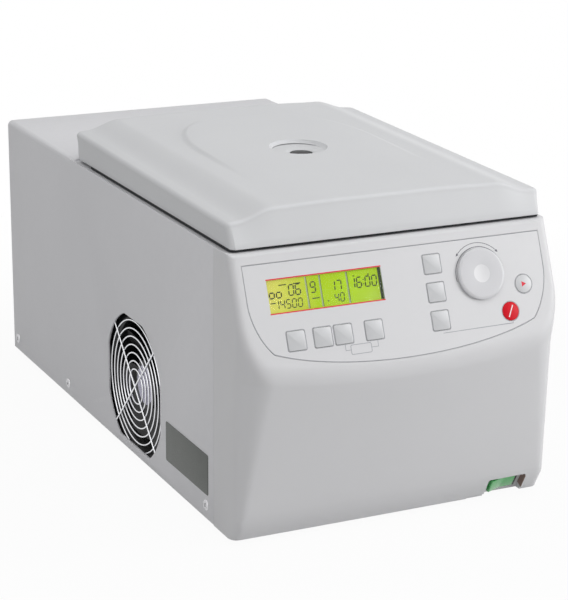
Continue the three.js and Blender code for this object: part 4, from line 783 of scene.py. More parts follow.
# Distance outside the moulding's skin, for arrays of x, y, z.
def mouldingField(x, y, z):
    m = moulding
    height = z - machine["bottom"]
    rise = m["crestHeight"] - m["chamferHeight"]
    climb = np.clip((height - m["chamferHeight"]) / rise, 0, 1)
    bow = lerp(m["footBow"], m["crestBow"], climb) * (x / machine["halfWidth"]) ** 2
    radius = lerp(m["footRadius"], m["crestRadius"], climb)
    lowerSlope = chamferRun / m["chamferHeight"]
    upperSlope = (m["crestReach"] - m["lowerReach"]) / rise
    lower = frontFace - lowerSlope * height + bow - y
    bendY = machine["frontY"] - m["lowerReach"]
    upper = bendY - upperSlope * (height - m["chamferHeight"]) + bow - y
    front = roundMax(lower / math.hypot(1, lowerSlope), upper, m["chamferRound"])
    ring = roundMax(front, np.abs(x) - machine["halfWidth"], radius)
    tilt = m["consoleTilt"]
    consoleY = machine["frontY"] - m["consoleSetback"] - (machine["deckTop"] - z) * math.tan(tilt)
    body = roundMax(ring, (consoleY - y) * math.cos(tilt), m["crestRound"])
    lipSlope = (m["lipReach"] - m["lipSetback"]) / m["lipDrop"]
    lipY = machine["frontY"] - m["lipSetback"] - (machine["trayTop"] - z) * lipSlope
    body = roundMax(body, (lipY - y) / math.hypot(1, lipSlope), m["edgeRound"])
    body = roundMax(body, z - machine["trayTop"], m["edgeRound"] / 2)
    return roundMax(body, machine["bottom"] - z, m["edgeRound"])


# Rays from an inner line run out to the skin drawn in by a wall; rows of them make a closed body.
def mouldingBody(name, drawnIn, backY, fine):
    coreX, coreY = moulding["coreHalf"], machine["frontY"] + moulding["coreDepth"]
    fan = 34 if fine else 10

    def spread(x, fromTurn, toTurn):
        turns = np.linspace(fromTurn * math.pi, toTurn * math.pi, fan)
        return [(x, coreY, math.cos(a), math.sin(a)) for a in turns]

    columns = [(-coreX, y, -1, 0) for y in np.linspace(backY, coreY, 4)[:-1]]
    columns += spread(-coreX, 1, 1.5)
    columns += [(x, coreY, 0, -1) for x in np.linspace(-coreX, coreX, 40 if fine else 14)[1:-1]]
    columns += spread(coreX, 1.5, 2)
    columns += [(coreX, y, 1, 0) for y in np.linspace(coreY, backY, 4)[1:]]
    low, high = machine["bottom"] + drawnIn + 0.02, machine["trayTop"] - drawnIn - 0.02
    chamferZ = machine["bottom"] + moulding["chamferHeight"]
    crestZ = machine["bottom"] + moulding["crestHeight"]
    # Heights between which the rows lie evenly, closest where the skin turns
    stops = [low, low + 1.2, chamferZ - 5, chamferZ + 5, crestZ - 14, crestZ + 16, high - 4, high]
    levels = []
    for a, b, count in zip(stops, stops[1:], (6, 5, 12, 12, 26, 34, 14)):
        rows = count if fine else max(3, count // 3)
        levels += list(np.linspace(a, b, rows, endpoint=False))
    levels.append(high)
    start = np.array(columns)
    x0, y0, dx, dy = (start[:, i][None, :] for i in range(4))
    z = np.array(levels)[:, None] + 0 * x0
    near, far = np.zeros_like(z), np.full_like(z, moulding["farthest"])
    for _ in range(36):
        middle = (near + far) / 2
        outside = mouldingField(x0 + dx * middle, y0 + dy * middle, z) > -drawnIn
        far = np.where(outside, middle, far)
        near = np.where(outside, near, middle)
    points = np.stack([x0 + dx * near, y0 + dy * near, z], axis=-1).reshape(-1, 3)
    rows, n = len(levels), len(columns)
    faces = gridFaces(rows, n)
    faces.append(list(range(n)))
    faces.append(list(range((rows - 1) * n, rows * n)))
    faces.append([r * n for r in range(rows)] + [r * n + n - 1 for r in range(rows - 1, -1, -1)])
    return closeSeams(newObject(name, points, faces), 0.001)


# Places on the console: x, and the distance down its slope from the deck's height
console = {
    "recess": 1.2, "filmThick": 0.9, "filmHalf": 131.0, "filmTop": 11.0, "shoulder": 40.0,
    "cornerX": 115.0, "cornerDown": 80.6, "bottom": 102.4, "keySize": 15.0, "keyCorner": 1.3,
    "roundKey": 7.4, "keyProud": 0.5, "keyDepth": 2.6,
}
squareKeys = {
    "key_speed": (-95.3, 72.2),
    "key_ramp": (-72.8, 72.2),
    "key_temperature": (-55.2, 72.2),
    "key_time": (-28.6, 72.2),
    "key_program": (30.4, 27.3),
    "key_menu": (30.4, 49.75),
    "key_quick": (30.4, 72.2),
}
roundKeys = {"key_start": (110.0, 52.3), "key_stop": (94.4, 72.6)}
lcd = {"x": -63.9, "down": 36.9, "width": 97.4, "height": 24.8, "margin": 1.6}
dial = {"x": 72.3, "down": 39.9, "radius": 21.0, "proud": 2.5, "lift": 0.4, "dimple": 7.2,
        "dimpleDepth": 0.5, "stem": 3.0, "stemDepth": 9.0}
mainsSwitch = {
    "x": 103.0, "recessX": 105.0, "recessWidth": 36.0, "recessTop": 9.2, "recessDepth": 6.5,
    "recessCorner": 2.2, "bodyWidth": 30.0, "bodyHeight": 16.0, "bodyDepth": 20.0, "flange": 1.2,
    "flangeCorner": 1.2, "rockerWidth": 26.0, "rockerHeight": 13.0, "throw": 16.0, "lip": 1.4,
    "capDepth": 0.4, "capTops": (3.9, 3.1, 2.2),
}
recessRight = mainsSwitch["recessX"] + mainsSwitch["recessWidth"] / 2


def bezierPoints(a, b, c, d, steps):
    made = []
    for i in range(1, steps + 1):
        t = i / steps
        k = ((1 - t) ** 3, 3 * t * (1 - t) ** 2, 3 * t * t * (1 - t), t**3)
        made.append(tuple(sum(w * p[axis] for w, p in zip(k, (a, b, c, d))) for axis in (0, 1)))
    return made


# The membrane's outline, grown or drawn in.
def filmOutline(grow):
    f, steps = console, 14
    half, top = f["filmHalf"] + grow, -f["filmTop"] + grow
    shoulder, cornerX = -f["shoulder"], f["cornerX"] + grow
    cornerV, lowest = -f["cornerDown"] - grow, -f["bottom"] - grow
    bendX, middleX = lerp(half, cornerX, 0.4), cornerX / 2
    high, bendV = (shoulder * 2 + cornerV) / 3, cornerV * 0.88
    left, right = (-cornerX, cornerV), (cornerX, cornerV)
    line = [(-half, top), (-half, shoulder)]
    line += bezierPoints((-half, shoulder), (-half, high), (-bendX, bendV), left, steps)
    line += bezierPoints(left, (-middleX, lowest), (middleX, lowest), right, 2 * steps)
    line += bezierPoints(right, (bendX, bendV), (half, high), (half, shoulder), steps)
    line.append((half, top))
    return line


def squareKeyOutline(name, grow, cornerGrow=0.0):
    x, down = squareKeys[name]
    side = console["keySize"] + 2 * grow
    return roundedBox(x, -down, side, side, console["keyCorner"] + cornerGrow)


def roundKeyOutline(name, grow, steps=48):
    x, down = roundKeys[name]
    return circleLine(x, -down, console["roundKey"] + grow, steps)


def windowHole(name, grow, span, margin=0.0):
    width, height = (lcd[side] + 2 * (grow + margin) for side in ("width", "height"))
    return prism(name, "xy", roundedBox(lcd["x"], -lcd["down"], width, height, 0.6, 3), span)


def consoleHoles(grow, span, margin=0.0):
    outlines = [squareKeyOutline(name, grow) for name in squareKeys]
    outlines += [roundKeyOutline(name, grow) for name in roundKeys]
    outlines.append(circleLine(dial["x"], -dial["down"], dial["stem"] + 2 * grow, 32))
    parts = [prism("hole", "xy", outline, span) for outline in outlines]
    return joined("holes", *parts, windowHole("hole", grow, span, margin))


def makeMoulding():
    seat, wall, s = machine["seat"], moulding["wall"], mainsSwitch
    skin = mouldingBody("frontMoulding", 0.0, machine["bezelBackY"], True)
    solid = skin.copy()
    solid.data = skin.data.copy()
    scene.collection.objects.link(solid)
    combine(skin, mouldingBody("inside", wall, machine["bezelBackY"] + 6, False))

    left = s["recessX"] - s["recessWidth"] / 2
    top, corner, deep = s["recessTop"], s["recessCorner"], -s["recessDepth"]
    pocket = block("pocket", (left - wall, recessRight + wall), (-24, top + wall), (deep - wall, 3))
    combine(place(pocket, switchMatrix), solid, "INTERSECT")
    combine(skin, pocket, "UNION")
    outline = [(left, -30, 0), (recessRight, -30, 0),
               (recessRight, top, corner), (left, top, corner)]
    recess = prism("recess", "xy", roundedLine(outline), (deep, 8))
    combine(skin, place(recess, switchMatrix))
    bodyX, bodyY = s["bodyWidth"] / 2 - s["lip"], s["bodyHeight"] / 2 - s["lip"]
    hole = block("hole", (s["x"] - bodyX, s["x"] + bodyX), (-bodyY, bodyY), (-25, 0))
    combine(skin, place(hole, switchMatrix))
    ySpan, zSpan = (-290, frontFace + wall / 2), (-5, machine["bottom"] + moulding["notchHeight"])
    combine(skin, block("notch", (moulding["notchFromX"], 160), ySpan, zSpan))

    film = prism("film", "xy", filmOutline(seat), (-console["recess"], 6))
    combine(skin, place(film, consoleMatrix))
    combine(skin, place(consoleHoles(seat, (-8, 2), lcd["margin"]), consoleMatrix))
    closeSeams(skin, 0.001)
    return finished(skin, "case", "case_white", ["front_bezel"], 32)


makeMoulding()
print("front moulding made")

filmLow = -console["recess"] + machine["seat"]
filmLevel = filmLow + console["filmThick"]


def makeFilm():
    film = prism("membranePanel", "xy", filmOutline(0), (filmLow, filmLevel))
    combine(film, consoleHoles(machine["seat"], (-4, 4)))
    finished(place(film, consoleMatrix), "case", "panel_grey", ["membrane_panel"])


# Print on the membrane, and the painted shadow arc round the dial: line widths, and how far a frame
# stands off its key
ink = {"rise": 0.05, "outline": 0.34, "frame": 0.32, "squareGap": 0.65, "roundGap": 0.7,
       "link": 0.4, "pillLine": 0.45, "arc": 0.45, "rim": 0.5, "edge": 0.95, "edgeGap": 0.75}
pill = {"left": -50.7, "right": -33.0, "low": -88.7, "high": -81.4, "corner": 1.2}
keyLine = [(31.1, -82.4), (95.3, -82.1), (95.3, -81.0)]
dialArc = ((53.8, -22.9), (72.3, -14.9), (90.2, -23.3))


# A flat line of even width along points on the membrane, for print and for the painted shadow arc
# round the dial.
def printedLine(points, width, closed=False):
    line = [Vector((u, v)) for u, v in points]
    count = len(line)
    corners, faces = [], []
    for i, here in enumerate(line):
        before = line[i - 1] if closed or i else here
        after = line[(i + 1) % count] if closed or i < count - 1 else here
        along = (after - before).normalized()
        into, out = (here - before), (after - here)
        stretch = 1.0
        if into.length > 1e-6 and out.length > 1e-6:
            stretch = 1 / max(0.5, math.cos(into.angle(out) / 2))
        side = Vector((-along.y, along.x)) * width / 2 * stretch
        for offset in (-side, side):
            for height in (-ink["rise"] / 2, ink["rise"]):
                corners.append((*(here + offset), filmLevel + height))
    for i in range(count if closed else count - 1):
        a, b = 4 * i, 4 * ((i + 1) % count)
        for j, k in ((0, 1), (1, 3), (3, 2), (2, 0)):
            faces.append([a + j, a + k, b + k, b + j])
    if not closed:
        last = 4 * count - 4
        faces += [[0, 1, 3, 2], [last, last + 1, last + 3, last + 2]]
    return newObject("line", corners, faces)


def printedPatch(outline):
    return prism("patch", "xy", outline, (filmLevel - ink["rise"] / 2, filmLevel + ink["rise"]))


def printed(name, materialName, *parts):
    made = closeSeams(joined(name, *parts), 0.0001)
    return finished(place(made, consoleMatrix), "case", "panel_grey", angle=20, look=materialName)


def arrowHead(tip, back):
    tip, back = Vector(tip), Vector(back)
    heading = (tip - back).normalized()
    side = Vector((-heading.y, heading.x)) * 1.1
    corners = (tip + heading * 1.5, tip - heading + side, tip - heading - side)
    return printedPatch([tuple(corner) for corner in corners])


def makePrintAndShadow():
    outline = printedLine(filmOutline(-0.25), ink["outline"], closed=True)
    printed("printOutline", "printPale", outline)
    outlines = [squareKeyOutline(name, ink["squareGap"], 0.5) for name in squareKeys]
    outlines += [roundKeyOutline(name, ink["roundGap"]) for name in roundKeys]
    frames = [printedLine(outline, ink["frame"], closed=True) for outline in outlines]
    printed("printKeyFrames", "printPale", *frames)

    left, right = squareKeys["key_temperature"][0], squareKeys["key_time"][0] + 1.6
    low = -squareKeys["key_time"][1] - console["keySize"] / 2 - 0.6
    middleU, middleV = (pill["left"] + pill["right"]) / 2, (pill["low"] + pill["high"]) / 2
    width, height = pill["right"] - pill["left"], pill["high"] - pill["low"]
    ring = roundedBox(middleU, middleV, width, height, pill["corner"])
    links = [
        printedLine(ring, ink["pillLine"], closed=True),
        printedLine([(left, low), (left, middleV), (pill["left"], middleV)], ink["link"]),
        printedLine([(right, low), (right, middleV), (pill["right"], middleV)], ink["link"]),
        printedLine(keyLine, ink["pillLine"]),
    ]
    printed("printLinks", "printPale", *links)

    arc = arcThrough(*(Vector(point) for point in dialArc), 28)
    heads = [arrowHead(arc[0], arc[2]), arrowHead(arc[-1], arc[-3])]
    printed("printDialArrow", "printGrey", printedLine(arc, ink["arc"]), *heads)
    # The dark arc along the dial's upper side is painted shadow of the dial's edge on the membrane
    x, v, reach = dial["x"], -dial["down"], dial["radius"] + 0.7
    spots = [(x - reach, v - 4), (x - 2, v + reach), (x + reach, v + 2)]
    rim = arcThrough(*(Vector(spot) for spot in spots), 36)
    printed("printDialRim", "printGrey", printedLine(rim, ink["rim"]))


def arcThrough(a, b, c, steps):
    d = 2 * (a.x * (b.y - c.y) + b.x * (c.y - a.y) + c.x * (a.y - b.y))
    sa, sb, sc = a.length_squared, b.length_squared, c.length_squared
    centre = Vector(
        (
            (sa * (b.y - c.y) + sb * (c.y - a.y) + sc * (a.y - b.y)) / d,
            (sa * (c.x - b.x) + sb * (a.x - c.x) + sc * (b.x - a.x)) / d,
        )
    )
    radius = (a - centre).length
    start = math.atan2(a.y - centre.y, a.x - centre.x)
    end = math.atan2(c.y - centre.y, c.x - centre.x)
    if end > start:
        end -= 2 * math.pi
    turns = np.linspace(start, end, steps)
    return [(centre.x + radius * math.cos(t), centre.y + radius * math.sin(t)) for t in turns]


# A key with a crowned top and a round upper edge.
def keyBody(name, outlineAt, slotName):
    top = console["keyProud"]
    crown = [(0.0, -console["keyDepth"]), (0.0, top - 0.35), (0.12, top - 0.15), (0.4, top)]
    rings = [[(u, v, height) for u, v in outlineAt(inset)] for inset, height in crown]
    points = [p for ring in rings for p in ring]
    n = len(rings[0])
    faces = [list(range(n)), list(range(len(points) - n, len(points)))]
    faces += gridFaces(len(rings), n, ring=True)
    key = closeSeams(newObject(name, points, faces))
    return finished(place(key, consoleMatrix), name, slotName, [name], 30)


def makeKeys():
    for name in squareKeys:
        keyBody(name, lambda inset: squareKeyOutline(name, -inset, -inset / 2), "key_grey")
    for name in roundKeys:
        slotName = "stop_red" if name == "key_stop" else "key_grey"
        keyBody(name, lambda inset: roundKeyOutline(name, -inset, 64), slotName)


def keyMark(name, key, outline, slotName, materialName):
    level = console["keyProud"]
    mark = prism(name, "xy", outline, (level - 0.02, level + 0.04))
    finished(place(mark, consoleMatrix), key, slotName, look=materialName)


# Plain marks: a slash on the stop key and a small arrowhead on the start key.
def makeKeyMarks():
    (x, down), reach = roundKeys["key_stop"], console["roundKey"] * 0.62
    side, thick = reach * 0.62, 0.9
    slash = [(x - side, -down - reach), (x - side + thick, -down - reach),
             (x + side, -down + reach), (x + side - thick, -down + reach)]
    keyMark("stopMark", "key_stop", slash, "panel_grey", "printWhite")
    (x, down), size = roundKeys["key_start"], console["roundKey"] * 0.3
    arrow = [(x - size * 0.8, -down - size), (x + size, -down), (x - size * 0.8, -down + size)]
    keyMark("startMark", "key_start", arrow, "stop_red", "printRed")


makeFilm()
makePrintAndShadow()
makeKeys()
makeKeyMarks()
print("membrane, print and keys made")


def makeDial():
    d = dial
    base, top, radius = d["lift"], d["lift"] + d["proud"], d["radius"]
    bowl, depth = d["dimple"], d["dimpleDepth"]
    edge = bowl + 0.6
    centre = consoleMatrix @ Matrix.Translation((d["x"], -d["down"], 0))
    corners = [(0, base, 0), (radius - 0.2, base, 0.3), (radius, top - 0.6, 1.2),
               (radius - 2.2, top, 1.8), (edge, top, 0)]
    profile = roundedLine(corners, 5, closed=False)
    for i in range(1, 9):
        inner = edge * (1 - i / 8)
        profile.append((inner, top - depth * (1 - (inner / edge) ** 2)))
    disc = turned("disc", profile, 96)
    low = -d["stemDepth"]
    stem = turned("stem", [(0, low), (d["stem"], low), (d["stem"], 1), (0, 1)], 32)
    made = joined("speedDial", disc, stem)
    finished(place(made, centre), "dial", "panel_grey", ["speed_dial"], 40, look="dialGrey")
    profile = [(0, top + 0.01 - depth)]
    for i in range(1, 9):
        inner = bowl * i / 8
        profile.append((inner, top + 0.03 - depth * (1 - (inner / edge) ** 2)))
    profile.append((bowl * 0.99, top - 0.12))
    profile += [(bowl * 0.99 * (7 - i) / 7, top - 0.08 - depth) for i in range(8)]
    spot = turned("dialSpot", profile)
    finished(place(spot, centre), "dial", "panel_grey", look="dimpleGrey")


makeDial()

# Display: digits as separate strokes, ribs between the fields, painted shadow strips beside the
# ribs and along the right edge, red edge lines

strokes = {
    "0": "abcdef", "1": "bc", "4": "bcfg", "5": "acdfg", "6": "acdefg", "7": "abc", "9": "abcdfg",
    "o": "cdeg",
}


# One digit: each stroke is a slim bar with pointed ends, and the whole leans to the right.
def digit(mark, u, v, size, level):
    width, height = size
    thick, gap, lean = height * 0.125, height * 0.03, 0.06
    half = height / 2
    spots = {
        "a": ((0, height), (width, height)),
        "g": ((0, half), (width, half)),
        "d": ((0, 0), (width, 0)),
        "f": ((0, half), (0, height)),
        "b": ((width, half), (width, height)),
        "e": ((0, 0), (0, half)),
        "c": ((width, 0), (width, half)),
    }
    parts = []
    for stroke in strokes[mark]:
        a, b = (Vector(p) for p in spots[stroke])
        along = (b - a).normalized()
        side = Vector((-along.y, along.x)) * thick / 2
        a, b = a + along * gap, b - along * gap
        tip = along * thick / 2
        corners = [a, a + tip - side, b - tip - side, b, b - tip + side, a + tip + side]
        outline = [(u + p.x + p.y * lean, v + p.y) for p in corners]
        parts.append(prism("stroke", "xy", outline, level))
    return parts


# Readings: characters, start and height over the lower edge, size of a character, pitch
readings = [
    ("06", (-94.9, 12.0), (4.0, 8.0), 5.7),
    ("oo", (-111.4, 11.2), (4.0, 8.4), 5.9),
    ("14500", (-108.2, 2.5), (3.3, 6.5), 4.95),
    ("9", (-76.5, 12.0), (4.0, 8.0), 5.7),
    ("17", (-59.7, 11.2), (3.8, 7.5), 5.5),
    ("40", (-57.0, 2.5), (3.1, 6.3), 4.7),
    ("16", (-42.6, 11.2), (3.9, 7.9), 5.8),
    ("00", (-29.4, 11.2), (3.9, 7.9), 5.8),
]
# Short bars and dots: middle over the lower edge, and length
ticks = [
    ((-99.4, 20.6), 6.4), ((-87.3, 20.6), 6.4), ((-73.0, 7.4), 6.2),
    ((-109.2, 7.4), 4.2), ((-62.9, 4.0), 1.5), ((-38.6, 20.5), 1.6),
    ((-25.9, 20.5), 1.6), ((-31.0, 13.4), 0.9), ((-30.7, 17.0), 0.9),
]
# The ribs' table also holds the width and offset of the painted shadow strip beside each rib, and
# the width of the painted shade along the right edge
ribs = {"at": (-79.8, -68.0, -44.8), "width": 0.9, "edgeWidth": 0.35, "edgeOffset": 0.85,
        "inset": 0.6, "sideShade": 2.4}


def makeDisplay():
    left, right = lcd["x"] - lcd["width"] / 2, lcd["x"] + lcd["width"] / 2
    middle = -lcd["down"]
    low, high = middle - lcd["height"] / 2, middle + lcd["height"] / 2
    finish["lcdGlow"] = makeLcdFinish(left, right)
    backing = filmLow - machine["seat"]

    module = windowHole("displayModule", 0.0, (backing - 6, backing), lcd["margin"])
    place(softEdges(module, 0.3), consoleMatrix)
    finished(module, "case", "lcd_green", ["display_module"])
    glass = windowHole("displayGlass", 0.0, (filmLow, filmLevel - machine["seat"]))
    place(softEdges(glass, 0.12), consoleMatrix)
    finished(glass, "case", "glass_clear", ["display_window"])

    base, level = backing - 0.02, backing + 0.08
    parts = []
    for text, (u, v), size, pitch in readings:
        for i, mark in enumerate(text):
            parts += digit(mark, u + i * pitch, low + v, size, (base, level))
    for (u, v), length in ticks:
        outline = roundedBox(u, low + v, length, 0.8, 0.2, 2)
        parts.append(prism("tick", "xy", outline, (base, level)))
    digits = closeSeams(joined("displayDigits", *parts), 0.0001)
    finished(place(digits, consoleMatrix), "case", "dark_plastic", look="lcdInk")

    def upright(u, width, inset, corner, rise):
        outline = roundedBox(u, (low + high) / 2, width, lcd["height"] - inset, corner, 2)
        return prism("upright", "xy", outline, (base, level + rise))

    r = ribs
    made = joined("displayRibs", *(upright(u, r["width"], r["inset"], 0.2, 0.04) for u in r["at"]))
    finished(place(made, consoleMatrix), "case", "panel_grey", look="lcdRib")
    # Dark strips just right of each rib and along the display's right edge: painted shadow
    shade = [upright(u + r["edgeOffset"], r["edgeWidth"], r["inset"], 0.1, 0.03) for u in r["at"]]
    shade.append(upright(right - r["sideShade"] / 2, r["sideShade"], 0, 0.2, 0.05))
    made = joined("displayShade", *shade)
    finished(place(made, consoleMatrix), "case", "dark_plastic", look="lcdInk")

    heights = (high + ink["edgeGap"], low - ink["edgeGap"])
    edges = [roundedBox(lcd["x"], v, lcd["width"] + 1.2, ink["edge"], 0.1, 2) for v in heights]
    printed("printDisplayEdges", "printRed", *(printedPatch(edge) for edge in edges))


makeDisplay()
print("dial and display made")


def makeMainsSwitch():
    s, seat = mainsSwitch, machine["seat"]
    base = -s["recessDepth"] + seat
    face = base + s["flange"]
    outline = roundedBox(s["x"], 0, s["bodyWidth"], s["bodyHeight"], s["flangeCorner"])
    housing = prism("switchHousing", "xy", outline, (base, face))

    def inside(name, halfX, halfY, low, high):
        return block(name, (s["x"] - halfX, s["x"] + halfX), (-halfY, halfY), (low, high))

    bodyX, bodyY = (s[side] / 2 - s["lip"] - seat for side in ("bodyWidth", "bodyHeight"))
    body = inside("body", bodyX, bodyY, -s["bodyDepth"], base + s["flange"] / 2)
    combine(housing, body, "UNION")
    swing, capY = s["rockerWidth"] / 2 + seat, s["rockerHeight"] / 2
    wellY, wellFloor = capY - s["lip"] + 2 * seat, -s["bodyDepth"] + s["lip"]
    combine(housing, inside("well", swing, wellY, wellFloor, 5))
    combine(housing, inside("capWell", swing, capY + 0.2, base - s["capDepth"] - 2.1, 5))
    place(softEdges(housing, 0.25), switchMatrix)
    finished(housing, "case", "dark_plastic", ["power_switch_housing"])

    half, low = s["rockerWidth"] / 2 - seat, -s["capDepth"]
    end, shoulder, dip = s["capTops"]
    corners = [(-half, low, 0.3), (half, low, 0.3), (half, end, 0.9), (half * 0.55, shoulder, 9),
               (0, dip, 16), (-half * 0.55, shoulder, 9), (-half, end, 0.9)]
    rocker = prism("mainsRocker", "xz", roundedLine(corners), (-capY, capY))
    depth = capY - s["lip"]
    combine(rocker, block("skirt", (-half, half), (-depth, depth), (-7, 0.5)), "UNION")
    softEdges(rocker, 0.4, 3, 50)
    tilt = Matrix.Rotation(math.radians(s["throw"] / 2), 4, "Y")
    place(rocker, switchMatrix @ (Matrix.Translation((s["x"], 0, base)) @ tilt))
    finished(rocker, "rocker", "switch_green", ["power_rocker"], 30)

    # A brownish sheet on the recess's right wall: painted shade of that wall
    ySpan, zSpan = (-6.8, s["recessTop"] - 2.4), (-s["recessDepth"] + 0.02, -0.5)
    shadeSheet = block("recessLiner", (recessRight - 0.5, recessRight - 0.02), ySpan, zSpan)
    finished(place(shadeSheet, switchMatrix), "case", "dark_plastic", look="recessBrown")


makeMainsSwitch()

# Case sheet metal

sheetMetal = {
    "bend": 5.0, "lift": 1.0, "holeRadius": 64.0, "holeHalf": 60.0, "holeTop": 127.0,
    "holeBottom": 12.4, "slotRows": 9, "slotPitch": 9.0, "slotHeight": 3.4, "slotLength": 44.0,
    "rearPitch": 56.0, "rearX": 40.0, "rearZ": 124.0, "rearLength": 46.0,
}


def archLine(drawnIn, low):
    side, top = machine["halfWidth"] - drawnIn, machine["deckTop"] - drawnIn
    bend = sheetMetal["bend"] - drawnIn
    corners = [(-side, low, 0), (side, low, 0), (side, top, bend), (-side, top, bend)]
    return roundedLine(corners, 12)


# Two columns of round-ended bars that cut a field of vents, copied at the points of a grid.
def slotField(length, way, centre, pitch):
    height, step, rows = (sheetMetal[key] for key in ("slotHeight", "slotPitch", "slotRows"))
    one = prism("slot", "xy", roundedBox(0, 0, length, height, height / 2 - 0.05, 5), (-6, 6))
    spots = [(c * pitch, (r - (rows - 1) / 2) * step, 0) for c in (-0.5, 0.5) for r in range(rows)]
    made = scattered("slots", one, spots, "sheetPaint")
    return place(made, facing(way, (0, 0, 1), centre))


# A circle with flats where it would pass the hole's sides, top or bottom.
def fanCutLine():
    y, z, half = machine["fanY"], machine["fanZ"], sheetMetal["holeHalf"]
    top, low = sheetMetal["holeTop"] - z, z - sheetMetal["holeBottom"]
    line = []
    for u, v in circleLine(0, 0, sheetMetal["holeRadius"], 256):
        line.append((y + u * min(1, half / max(abs(u), 1e-6)), z + min(max(v, -low), top)))
    return line


def makeCover():
    fromY, deckY = machine["bezelBackY"] + machine["seat"], machine["lidRearY"] + 3
    rearY, halfWidth = machine["rearY"], machine["halfWidth"]
    low = machine["bottom"] + sheetMetal["lift"]
    shell = prism("caseCover", "xz", archLine(0, low), (deckY, rearY))
    inner = archLine(machine["sheet"], low - 8)
    combine(shell, prism("inside", "xz", inner, (deckY - 8, rearY + 8)))
    for side in (-1, 1):
        xSpan = sorted((side * halfWidth, side * (halfWidth - machine["sheet"])))
        wall = block("wall", xSpan, (fromY, deckY + 8), (low, machine["trayTop"]))
        combine(shell, wall, "UNION")
    combine(shell, prism("fanCut", "yz", fanCutLine(), (-150, -130)))
    length, centre = sheetMetal["slotLength"], (halfWidth, machine["fanY"], machine["fanZ"])
    combine(shell, slotField(length, (0, 1, 0), centre, length + sheetMetal["slotPitch"]))
    softEdges(shell, 0.35, 2, 40)
    finished(shell, "case", "sheet_paint", ["case_cover"], 30)


def makeRearPanel():
    low, high = boxMm("rear_panel")
    outline = archLine(machine["sheet"] + machine["seat"], low.z)
    panel = prism("rearPanel", "xz", outline, (low.y, high.y))
    centre = (sheetMetal["rearX"], high.y, sheetMetal["rearZ"])
    slots = slotField(sheetMetal["rearLength"], (1, 0, 0), centre, sheetMetal["rearPitch"])
    combine(panel, slots)
    outline = inletBox(machine["seat"])
    combine(panel, prism("inletHole", "xz", outline, (low.y - 5, high.y + 5)))
    softEdges(panel, 0.3, 2, 40)
    finished(panel, "case", "sheet_paint", ["rear_panel"], 30)


inletLow, inletHigh = boxMm("mains_inlet")
inletAt = (inletLow + inletHigh) / 2
inlet = {"width": 28.5, "height": 21.0, "flange": 2.2, "corner": 2.0, "cavityHalf": 12.25,
         "cavityLow": 8.5, "cavityDepth": 15.0, "pinPitch": 7.0, "pinDrop": 5.5, "pinRise": 4.0,
         "pinWidth": 2.0, "pinHeight": 5.0, "pinSpan": (16.0, 3.0), "screwReach": 17.2}


def inletBox(grow):
    width, height = inlet["width"] + 2 * grow, inlet["height"] + 2 * grow
    return roundedBox(inletAt.x, inletAt.z, width, height, 1.0)


makeCover()
makeRearPanel()
print("sheet metal made")

# Lid

lid = {
    "edgeFront": 20.6, "edgeRear": 26.4, "topFront": 31.0, "topRear": 36.4, "coveFoot": 130.5,
    "coveTop": 98.0, "crown": 1.2, "crownFrom": 50.0, "edgeRise": 0.8, "overhang": 1.6,
    "foot": 1.6, "belly": 0.5, "corner": 5.4, "wall": 3.0,
    "lean": {"side": -1.8, "front": 7.0, "rear": 1.0},
    "round": {"side": 3.2, "front": 3.6, "rear": 3.8},
    "padHalf": 81.5, "padRear": 287.0, "padCorner": (56.0, 100.0), "padFade": (75.0, 215.0),
    "padRise": 2.0, "padStep": 4.2, "dishRadius": 22.6, "dishOffset": 5.0, "dishDrop": 1.1,
    "dishFlare": 2.6, "dishBend": 1.4, "windowRadius": 9.4, "windowNeck": 8.75,
    "boss": (17.0, 32.0), "port": (9.05, 9.7, 10.2, 13.6),
    "sealInset": 1.8, "sealWidth": 2.2, "sealSpan": (235.3, 238.4), "sealRearY": 60.0,
}


def lidShare(y):
    return (y - machine["frontY"]) / (machine["lidRearY"] - machine["frontY"])


def lidTop(x, y):
    share, foot, top, half = lidShare(y), lid["coveFoot"], lid["coveTop"], machine["lidHalf"]
    edgeZ = machine["deckTop"] + lerp(lid["edgeFront"], lid["edgeRear"], share)
    topZ = machine["deckTop"] + lerp(lid["topFront"], lid["topRear"], share)
    side = np.abs(x)
    flange = lid["edgeRise"] * np.clip((half - side) / (half - foot), 0, 1)
    cove = smooth((foot - side) / (foot - top))
    crown = lid["crown"] * (1 - smooth((side - lid["crownFrom"]) / (top - lid["crownFrom"])))
    height = edgeZ + flange + (topZ - edgeZ - lid["edgeRise"] - lid["crown"]) * cove
    return height + crown + padRise(x, y)


# The low pad on the raised middle: a soft step along its sides and rear, and none at its front.
def padRise(x, y):
    down = y - machine["frontY"]
    wide, long = lid["padCorner"]
    u = np.maximum(np.abs(x) - (lid["padHalf"] - wide), 0) / wide
    v = np.maximum(down - (lid["padRear"] - long), 0) / long
    size = np.hypot(u, v)
    outside = (size - 1) * lerp(wide, long, v**2 / np.maximum(size**2, 1e-9))
    near, far = lid["padFade"]
    grow = smooth((down - near) / (far - near))
    return lid["padRise"] * grow * smooth(0.5 - outside / lid["padStep"])


